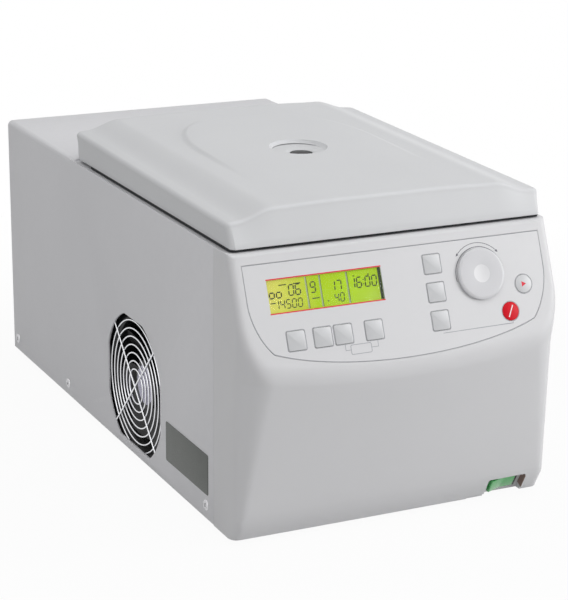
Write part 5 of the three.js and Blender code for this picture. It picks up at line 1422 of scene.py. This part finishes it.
# The skin is a grid. Its outer lines climb the walls, turn over the edge and round the corners.
def lidSkin(name, drawnIn, lowZ, fine):
    climbs = [0, 0.04, 0.25, 0.42, 0.57, 0.7, 0.82, 0.92, 1] if fine else [0, 0.5, 1]
    turns = [0.14, 0.28, 0.42, 0.56, 0.7, 0.85, 1] if fine else [0.5, 1]
    rings = [(t, 0, 0) for t in climbs] + [(1, t, 0) for t in turns]
    if fine:
        rings.append((1, 1, 0.5))
    band, corner = len(rings), lid["corner"] - drawnIn / 2
    half = machine["lidHalf"] - lid["foot"] - drawnIn
    front = machine["frontY"] - lid["overhang"] + drawnIn
    rear = machine["lidRearY"] - drawnIn
    lean = lid["lean"]
    insideX = np.linspace(-1, 1, 170 if fine else 26) * (half - lean["side"] - corner)
    firstY, lastY = front + lean["front"] + corner, rear - lean["rear"] - corner
    insideY = np.linspace(firstY, lastY, 210 if fine else 20)
    across, along = len(insideX) + 2 * band, len(insideY) + 2 * band
    rounds = {key: value - drawnIn / 2 for key, value in lid["round"].items()}

    def gridPoint(i, j):
        outX = max(band - i, 0, band - (across - 1 - i))
        outY = max(band - j, 0, band - (along - 1 - j))
        out = max(outX, outY)
        if out == 0:
            return insideX[i - band], insideY[j - band], 0.0, 1.0
        climb, turn, flat = rings[band - out]
        end = "front" if j < along / 2 else "rear"
        length = math.hypot(outX, outY)
        towardX, towardY = outX / length, outY / length
        rounding = lerp(rounds["side"], rounds[end], towardY**2)
        inset = lid["belly"] * 6.75 * climb**2 * (1 - climb) * towardX**2
        inset += rounding * (1 - math.cos(turn * math.pi / 2))
        inset += 0.4 if climb == 0 and fine else 0
        inset = lerp(inset, corner, flat)
        x = insideX[i - band] if not outX else math.copysign(
            half - lean["side"] * climb - corner + (corner - inset) * towardX, i - across / 2)
        if not outY:
            y = insideY[j - band]
        elif end == "front":
            y = front + lean["front"] * climb + corner - (corner - inset) * towardY
        else:
            y = rear - lean["rear"] * climb - corner + (corner - inset) * towardY
        return x, y, rounding * (1 - math.sin(turn * math.pi / 2)), climb

    grid = np.array([[gridPoint(i, j) for i in range(across)] for j in range(along)])
    x, y, drop, climb = (grid[..., k] for k in range(4))
    top = lidTop(x, y) - drawnIn - drop
    points = np.stack([x, y, lerp(lowZ, top, climb)], axis=-1).reshape(-1, 3)
    faces = gridFaces(along, across)
    n, last = across, along * across - 1
    loop = list(range(n)) + list(range(2 * n - 1, last + 1, n))
    loop += list(range(last - 1, last - n, -1)) + list(range(last + 1 - 2 * n, 0, -n))
    faces.append(loop[::-1])
    return closeSeams(newObject(name, [tuple(p) for p in points], faces), 0.003)


# A black strip in the gap under the lid's front and sides, open at the rear: painted shadow that
# makes the gap a crisp dark line.
def makeLidGapShade():
    low, high = lid["sealSpan"]
    frontY, rearY = machine["frontY"] - lid["overhang"], machine["lidRearY"]

    def ring(name, step, span):
        width, depth = 2 * (machine["lidHalf"] - step), rearY - frontY - 2 * step
        outline = roundedBox(0, (frontY + rearY) / 2, width, depth, lid["corner"] - step / 2)
        return prism(name, "xy", outline, span)

    strip = ring("lidSeal", lid["sealInset"], (low, high))
    combine(strip, ring("inside", lid["sealInset"] + lid["sealWidth"], (low - 2, high + 2)))
    combine(strip, block("rear", (-200, 200), (lid["sealRearY"], 140), (low - 3, high + 3)))
    finished(strip, "lid", "rubber")


def makeLid():
    shell = lidSkin("lidCover", 0.0, machine["lidRim"], True)
    combine(shell, lidSkin("inside", lid["wall"], machine["lidRim"] - 6, False))
    portY, radius, bend = machine["chamberY"], lid["dishRadius"], lid["dishBend"]

    def about(shape, offset=0.0):
        return place(shape, Matrix.Translation((0, portY + offset, 0)))

    frontTop = lerp(lid["topFront"], lid["topRear"], lidShare(portY - radius))
    floor = machine["deckTop"] + frontTop - lid["dishDrop"]
    inner, outer = lid["boss"]
    boss = turned("boss", [(0, floor - 8), (inner, floor - 8), (outer, floor), (0, floor)])
    combine(shell, about(boss, lid["dishOffset"] / 2), "UNION")
    profile = [(0, floor), (radius - bend, floor)]
    for i in range(1, 9):
        turn = i / 8
        reach = radius - bend + (lid["dishFlare"] + bend) * turn
        profile.append((reach, floor + 0.25 * turn + 3.4 * turn**2.2))
    profile += [(radius + lid["dishFlare"] + 8, floor + 14), (0, floor + 14)]
    combine(shell, about(turned("dish", profile, 128), lid["dishOffset"]))
    low = machine["deckTop"] - 5
    bore, step, rim, flare = lid["port"]
    profile = [(0, low), (bore, low), (bore, floor - 3.4), (step, floor - 3.4), (step, floor - 1.3),
               (rim, floor - 0.95), (flare, floor + 0.1), (0, floor + 0.1)]
    combine(shell, about(turned("port", profile)))
    closeSeams(shell, 0.001)
    finished(shell, "lid", "case_white", ["lid_cover"], 34, look="lidWhite")

    low, neck, head = boxMm("lid_window")[0].z, lid["windowNeck"], lid["windowRadius"]
    corners = [(0, low, 0), (neck, low, 0.4), (neck, floor - 3, 0), (head, floor - 3, 0.2),
               (head, floor - 1.1, 0.4), (0, floor - 0.9, 0)]
    glass = about(turnedRound("lidWindow", corners, 5, 96))
    finished(glass, "lid", "smoked_glass", ["lid_window"])


makeLid()
makeLidGapShade()
print("lid made")

# Fan

fan = {
    "size": 119.0, "bore": 58.0, "corner": 6.0, "hub": 22.0, "blades": 7, "tip": 56.0,
    "frontX": -136.0, "depth": 25.0, "mount": 105.0, "bladeThick": 1.6, "bladeFront": -6.4,
    "bladeBack": -22.3, "hubFront": -5.9, "hubBack": -22.6, "disc": 17.2,
}
# Lengths of the wire guard, under the names of its tree's inputs
guard = {"First Radius": 15.2, "Pitch": 7.13, "Wire": 0.72, "Reach": 72.6, "Depth": 1.3,
         "Corner": fan["mount"] / 2 * math.sqrt(2), "Eyelet": 4.2}
guardRings, guardX = 7, -138.1


def placeFan(obj, frontX=fan["frontX"]):
    return place(obj, facing((0, 1, 0), (0, 0, -1), (frontX, machine["fanY"], machine["fanZ"])))


def makeGuard():
    values = {label: length * mm for label, length in guard.items()}
    values |= {"Rings": guardRings, "Finish": finish["chrome"]}
    made = closeSeams(runTree("fanGuard", wireGuard, values))
    finished(placeFan(made, guardX), "case", "chrome", ["fan_guard"], 50)


# One swept blade: thin, curved across its chord, twisted from hub to tip.
def bladeShape():
    rings, chord = 9, 8
    points = []
    for i in range(rings):
        share = i / (rings - 1)
        radius = lerp(fan["hub"] - 1.5, fan["tip"], share)
        spread = lerp(0.78, 1.0, share) * 31.0 / radius
        sweep = 0.42 * share**1.7
        for side in (0, 1):
            for k in range(chord + 1) if side == 0 else range(chord, -1, -1):
                along = k / chord
                bulge = math.sin(math.pi * min(max(along, 0.06), 0.94)) ** 0.6
                thick = fan["bladeThick"] * (0.35 + 0.65 * bulge)
                depth = lerp(fan["bladeFront"], fan["bladeBack"], along)
                depth = depth + math.sin(along * math.pi) * 1.7 + (side - 0.5) * thick
                angle = sweep + (along - 0.5) * spread
                points.append((radius * math.cos(angle), radius * math.sin(angle), depth))
    n = 2 * (chord + 1)
    faces = gridFaces(rings, n, ring=True)
    faces += [list(range(n)), list(range((rings - 1) * n, rings * n))]
    return closeSeams(newObject("blade", points, faces))


def makeImpeller():
    blades = ringOf("blades", bladeShape(), fan["blades"], "fanBlack")
    radius, front, back = fan["hub"], fan["hubFront"], fan["hubBack"]
    corners = [(0, front, 0), (radius - 0.2, front, 1.6), (radius, back, 0.4), (0, back, 0)]
    hub = turnedRound("hub", corners, 5)
    wheel = placeFan(joined("fanImpeller", blades, hub))
    finished(wheel, "fan", "dark_plastic", ["fan_impeller"], 40, look="fanBlack")
    radius = fan["disc"]
    profile = [(0, -6.1), (radius, -6.1), (radius, -5.74), (radius - 0.3, -5.7), (0, -5.7)]
    finished(placeFan(turned("fanHubDisc", profile)), "fan", "panel_grey", look="fanLabel")


def makeFanFrame():
    back, bore, reach = -fan["depth"], fan["bore"], fan["mount"] / 2
    outline = roundedBox(0, 0, fan["size"], fan["size"], fan["corner"])
    body = prism("fanFrame", "xy", outline, (back, 0))
    profile = [(0, 5), (bore + 3.2, 5), (bore + 2.6, 0), (bore + 0.6, -2.6), (bore, -6),
               (bore, -20), (bore + 1.4, back - 0.1), (bore + 1.6, back - 5), (0, back - 5)]
    combine(body, turned("bore", profile, 96))
    spots = [(u * reach, v * reach) for u in (-1, 1) for v in (-1, 1)]
    holes = [prism("hole", "xy", circleLine(u, v, 2.2, 16), (back - 5, 5)) for u, v in spots]
    combine(body, joined("holes", *holes))
    radius, top = fan["hub"], back + 1.6
    plate = turned("plate", [(0, back), (radius, back), (radius, top), (0, top)], 48)
    strut = block("strut", (0, bore + 1.4), (-2.5, 2.5), (back, back + 2))
    combine(body, ringOf("struts", strut, 4, "darkPlastic"), "UNION", True)
    combine(body, plate, "UNION")
    placeFan(softEdges(body, 0.3, 2, 45))
    finished(body, "case", "dark_plastic", ["fan_frame"], 30, look="fanBlack")


makeGuard()
makeImpeller()
makeFanFrame()
print("fan made")

# Screws, plate, feet, inlet

screw = {"radius": 4.7, "height": 1.15, "slot": 1.1, "foot": 0.15}


# A pan head with a crossed recess, lying in the xy plane.
def panHead(radius, height):
    foot, slot = screw["foot"], screw["slot"] / 2
    dome = [(0, -0.3), (radius, -0.3), (radius, foot)]
    for i in range(1, 7):
        angle = i / 6 * math.pi / 2
        reach = radius * (0.62 + 0.38 * math.cos(angle)) if i < 6 else radius * 0.5
        dome.append((reach, foot + (height - foot) * math.sin(angle)))
    dome.append((0, height))
    head = turned("head", dome, 32)
    for turn in (0, math.pi / 2):
        reach = radius * 0.52
        arm = block("arm", (-reach, reach), (-slot, slot), (height * 0.25, height + 1))
        combine(head, place(arm, Matrix.Rotation(turn, 4, "Z")))
    return head


def screwSet(name, spots, matrix, radius, seed):
    head = panHead(radius, screw["height"] * radius / screw["radius"])
    made = scattered(name, head, spots, "screwSteel", 3.1, seed)
    finished(place(made, matrix), "case", "stainless", angle=35, look="screwSteel")


# The xy plane turned to face backwards at a depth y.
def rearWall(y):
    return facing((-1, 0, 0), (0, 0, 1), (0, y, 0))


leftWall = facing((0, -1, 0), (0, 0, 1), (-machine["halfWidth"], 0, 0))
rightWall = facing((0, 1, 0), (0, 0, 1), (machine["halfWidth"], 0, 0))
sideScrews = [(269.7, 16.7), (122.5, 16.1), (-201.0, 16.5)]
rearScrews = [(x, z) for x in (-128, 0, 128) for z in (18, 222)] + [(-128, 120), (128, 120)]


def makeScrews():
    radius = screw["radius"]
    screwSet("screwsLeft", [(-y, z, 0) for y, z in sideScrews], leftWall, radius, 3)
    screwSet("screwsRight", [(y, z, 0) for y, z in sideScrews], rightWall, radius, 5)
    spots = [(-x, z, 0) for x, z in rearScrews]
    screwSet("screwsRear", spots, rearWall(boxMm("rear_panel")[1].y), 3.4, 7)
    spots = [(-(inletAt.x + s * inlet["screwReach"]), inletAt.z, 0) for s in (-1, 1)]
    screwSet("screwsInlet", spots, rearWall(inletHigh.y), 1.9, 9)


sidePlate = {"fromY": -205.2, "toY": -117.5, "fromZ": 25.5, "toZ": 60.0,
             "corner": 2.0, "thick": 0.35}


def makeSidePlate():
    fromY, toY, fromZ, toZ, corner, thick = sidePlate.values()
    outline = roundedBox((fromY + toY) / 2, (fromZ + toZ) / 2, toY - fromY, toZ - fromZ, corner)
    span = (-machine["halfWidth"] - thick, -machine["halfWidth"] + 0.05)
    plate = softEdges(prism("sidePlate", "yz", outline, span), 0.12)
    finished(plate, "case", "dark_plastic", look="plateDark")


foot = {"hollow": 0.6, "hollowRadius": 5.2, "taper": 2.4, "rim": 1.2}


def makeFeet():
    for name in (f"foot_{end}_{side}" for end in ("front", "rear") for side in ("left", "right")):
        low, high = boxMm(name)
        outer, inner, hollow = (high.x - low.x) / 2, foot["hollowRadius"], low.z + foot["hollow"]
        corners = [(0, hollow, 0), (inner, hollow, 0.3), (inner + foot["hollow"], low.z, 0.3),
                   (outer - foot["taper"], low.z, 0.8), (outer, high.z - foot["rim"], 0.8),
                   (outer, high.z, 0.2), (0, high.z, 0)]
        pad = turnedRound(name, corners, 4, 48)
        place(pad, Matrix.Translation(((low.x + high.x) / 2, (low.y + high.y) / 2, 0)))
        finished(pad, "case", "rubber", [name])


def makeInlet():
    low, high, (x, _, z) = inletLow, inletHigh, inletAt
    body = prism("mainsInlet", "xz", inletBox(0), (low.y, high.y))
    corners = [(u, v, inlet["corner"]) for u, v in
               ((low.x, low.z), (high.x, low.z), (high.x, high.z), (low.x, high.z))]
    flange = prism("flange", "xz", roundedLine(corners), (high.y - inlet["flange"], high.y))
    combine(body, flange, "UNION")
    half, tall = inlet["cavityHalf"], inlet["cavityLow"]
    spots = ((-half, -tall), (half, -tall), (half, 4), (8, tall), (-8, tall), (-half, 4))
    outline = roundedLine([(x + u, z + v, 1) for u, v in spots])
    combine(body, prism("cavity", "xz", outline, (high.y - inlet["cavityDepth"], high.y + 4)))
    finished(softEdges(body, 0.3), "case", "dark_plastic", ["mains_inlet"])
    pins, half = [], inlet["pinWidth"] / 2
    ySpan = [high.y - depth for depth in inlet["pinSpan"]]
    for k, lift in ((-1, 0), (0, inlet["pinRise"]), (1, 0)):
        u, v = x + k * inlet["pinPitch"], z - inlet["pinDrop"] + lift
        pin = block("pin", (u - half, u + half), ySpan, (v, v + inlet["pinHeight"]))
        pins.append(softEdges(pin, 0.5))
    finished(joined("inletPins", *pins), "case", "stainless")


makeScrews()
makeSidePlate()
makeFeet()
makeInlet()
print("screws, plate, feet and inlet made")

# Chamber and rotor, seen with the lid open

chamber = {"shaftHole": 16.0, "radius": 99.0, "lipRadius": 107.0,
           "sealInner": 108.5, "sealOuter": 115.5}
rotorShape = {
    "hole": 6.3, "base": 74.0, "radius": 92.0, "cone": 14.0, "waist": 30.0, "height": 46.5,
    "rimOuter": 82.0, "rimInner": 66.5, "floor": 30.0, "floorRadius": 50.0, "hub": 26.0,
    "hubTop": 38.0, "wells": 24, "wellRadius": 5.5, "wellDepth": 34.0,
    "lidHole": 7.0, "lidRadius": 80.0, "lidThick": 2.0, "groove": (29.0, 70.0), "grooveDepth": 0.5,
    "nutRadius": 15.0, "nutHeight": 14.0, "stemRadius": 6.4, "flutes": 16, "fluteRadius": 1.6,
}


def onAxis(obj, z=0.0):
    return place(obj, Matrix.Translation((0, machine["chamberY"], z)))


def makeChamber():
    c = chamber
    low, high = (corner.z for corner in boxMm("chamber_bowl"))
    hole, wall, lip = c["shaftHole"], c["radius"], c["lipRadius"]
    corners = [(hole, low, 0), (wall, low, 10), (wall, high - 1, 0.4), (lip, high - 1, 0.2),
               (lip, high, 0.4), (wall - 1, high, 1.2), (wall - 1, low + 1, 9),
               (hole, low + 1, 0.3)]
    bowl = turnedRound("chamberBowl", corners, 8, 128, closed=True)
    finished(onAxis(bowl), "case", "stainless", ["chamber_bowl"])
    low, high = (corner.z for corner in boxMm("chamber_seal"))
    inner, outer = c["sealInner"], c["sealOuter"]
    profile = [(inner, low), (outer, low), (outer, low + 1)]
    for i in range(1, 12):
        angle = i / 12 * math.pi
        radius = (inner + outer) / 2 + (outer - inner) / 2 * math.cos(angle)
        profile.append((radius, low + 1 + (high - low - 1) * math.sin(angle)))
    profile.append((inner, low + 1))
    ring = turned("chamberSeal", profile, 128, closed=True)
    finished(onAxis(ring), "case", "rubber", ["chamber_seal"])


def makeRotor():
    r = rotorShape
    corners = [
        (r["hole"], 0, 0.5), (r["base"], 0, 3), (r["radius"], r["cone"], 5),
        (r["radius"], r["waist"], 4), (r["rimOuter"], r["height"], 1.5),
        (r["rimInner"], r["height"], 1.0), (r["floorRadius"], r["floor"], 2),
        (r["hub"], r["floor"], 2), (r["hub"] - 6, r["hubTop"], 1.2), (r["hole"], r["hubTop"], 0.5),
    ]
    body = turnedRound("angleRotor", corners, 5, 120, closed=True)
    deep, radius = -r["wellDepth"], r["wellRadius"]
    well = turned("well", [(0, deep), (radius, deep), (radius, 40), (0, 40)], 20)
    middle = ((r["floorRadius"] + r["rimInner"]) / 2, 0, (r["floor"] + r["height"]) / 2)
    place(well, Matrix.Translation(middle) @ Matrix.Rotation(-math.pi / 4, 4, "Y"))
    combine(body, ringOf("wells", well, r["wells"], "darkAlloy"), "DIFFERENCE", True)
    onAxis(body, boxMm("angle_rotor")[0].z)
    finished(body, "rotor", "dark_alloy", ["angle_rotor"], 30)


def makeRotorLid():
    hole, edge, thick = (rotorShape[key] for key in ("lidHole", "lidRadius", "lidThick"))
    (inner, outer), sunk = rotorShape["groove"], thick - rotorShape["grooveDepth"]
    corners = [(hole, 0, 0.2), (edge, 0, 0.6), (edge, thick, 0.6), (outer, thick, 0.3),
               (outer - 1, sunk, 0.3), (inner + 1, sunk, 0.3), (inner, thick, 0.3),
               (hole, thick, 0.2)]
    plate = turnedRound("rotorLid", corners, 4, 128, closed=True)
    onAxis(plate, boxMm("rotor_lid")[0].z)
    finished(plate, "rotor", "alloy", ["rotor_lid"])

    low, high = (corner.z for corner in boxMm("rotor_lid_nut"))
    radius, stem, slim = (rotorShape[key] for key in ("nutRadius", "stemRadius", "fluteRadius"))
    stemTop = high - rotorShape["nutHeight"]
    corners = [(0, low, 0), (stem, low, 0.4), (stem, stemTop, 0.2), (radius, stemTop, 1.0),
               (radius - 4, stemTop + 7, 6), (radius, high, 1.6), (0, high, 0)]
    nut = turnedRound("rotorLidNut", corners, 6, 96)
    flute = turned("flute", [(0, -30), (slim, -30), (slim, 30), (0, 30)], 12)
    place(flute, Matrix.Translation((radius + 0.6, 0, high)))
    combine(nut, ringOf("flutes", flute, rotorShape["flutes"], "darkPlastic"))
    finished(onAxis(nut), "rotor", "dark_plastic", ["rotor_lid_nut"], 30)


makeChamber()
makeRotor()
makeRotorLid()
print("chamber and rotor made")

# The model's own nodes that stay as they are

def dressNodes():
    slots = {part["node"]: part["material_slot"] for part in frame["record"]["subparts"]}
    for name, obj in frame["nodes"].items():
        obj.data.materials.clear()
        obj.data.materials.append(finish[slotFinish(slots[name])])


dressNodes()
print("kept nodes dressed")
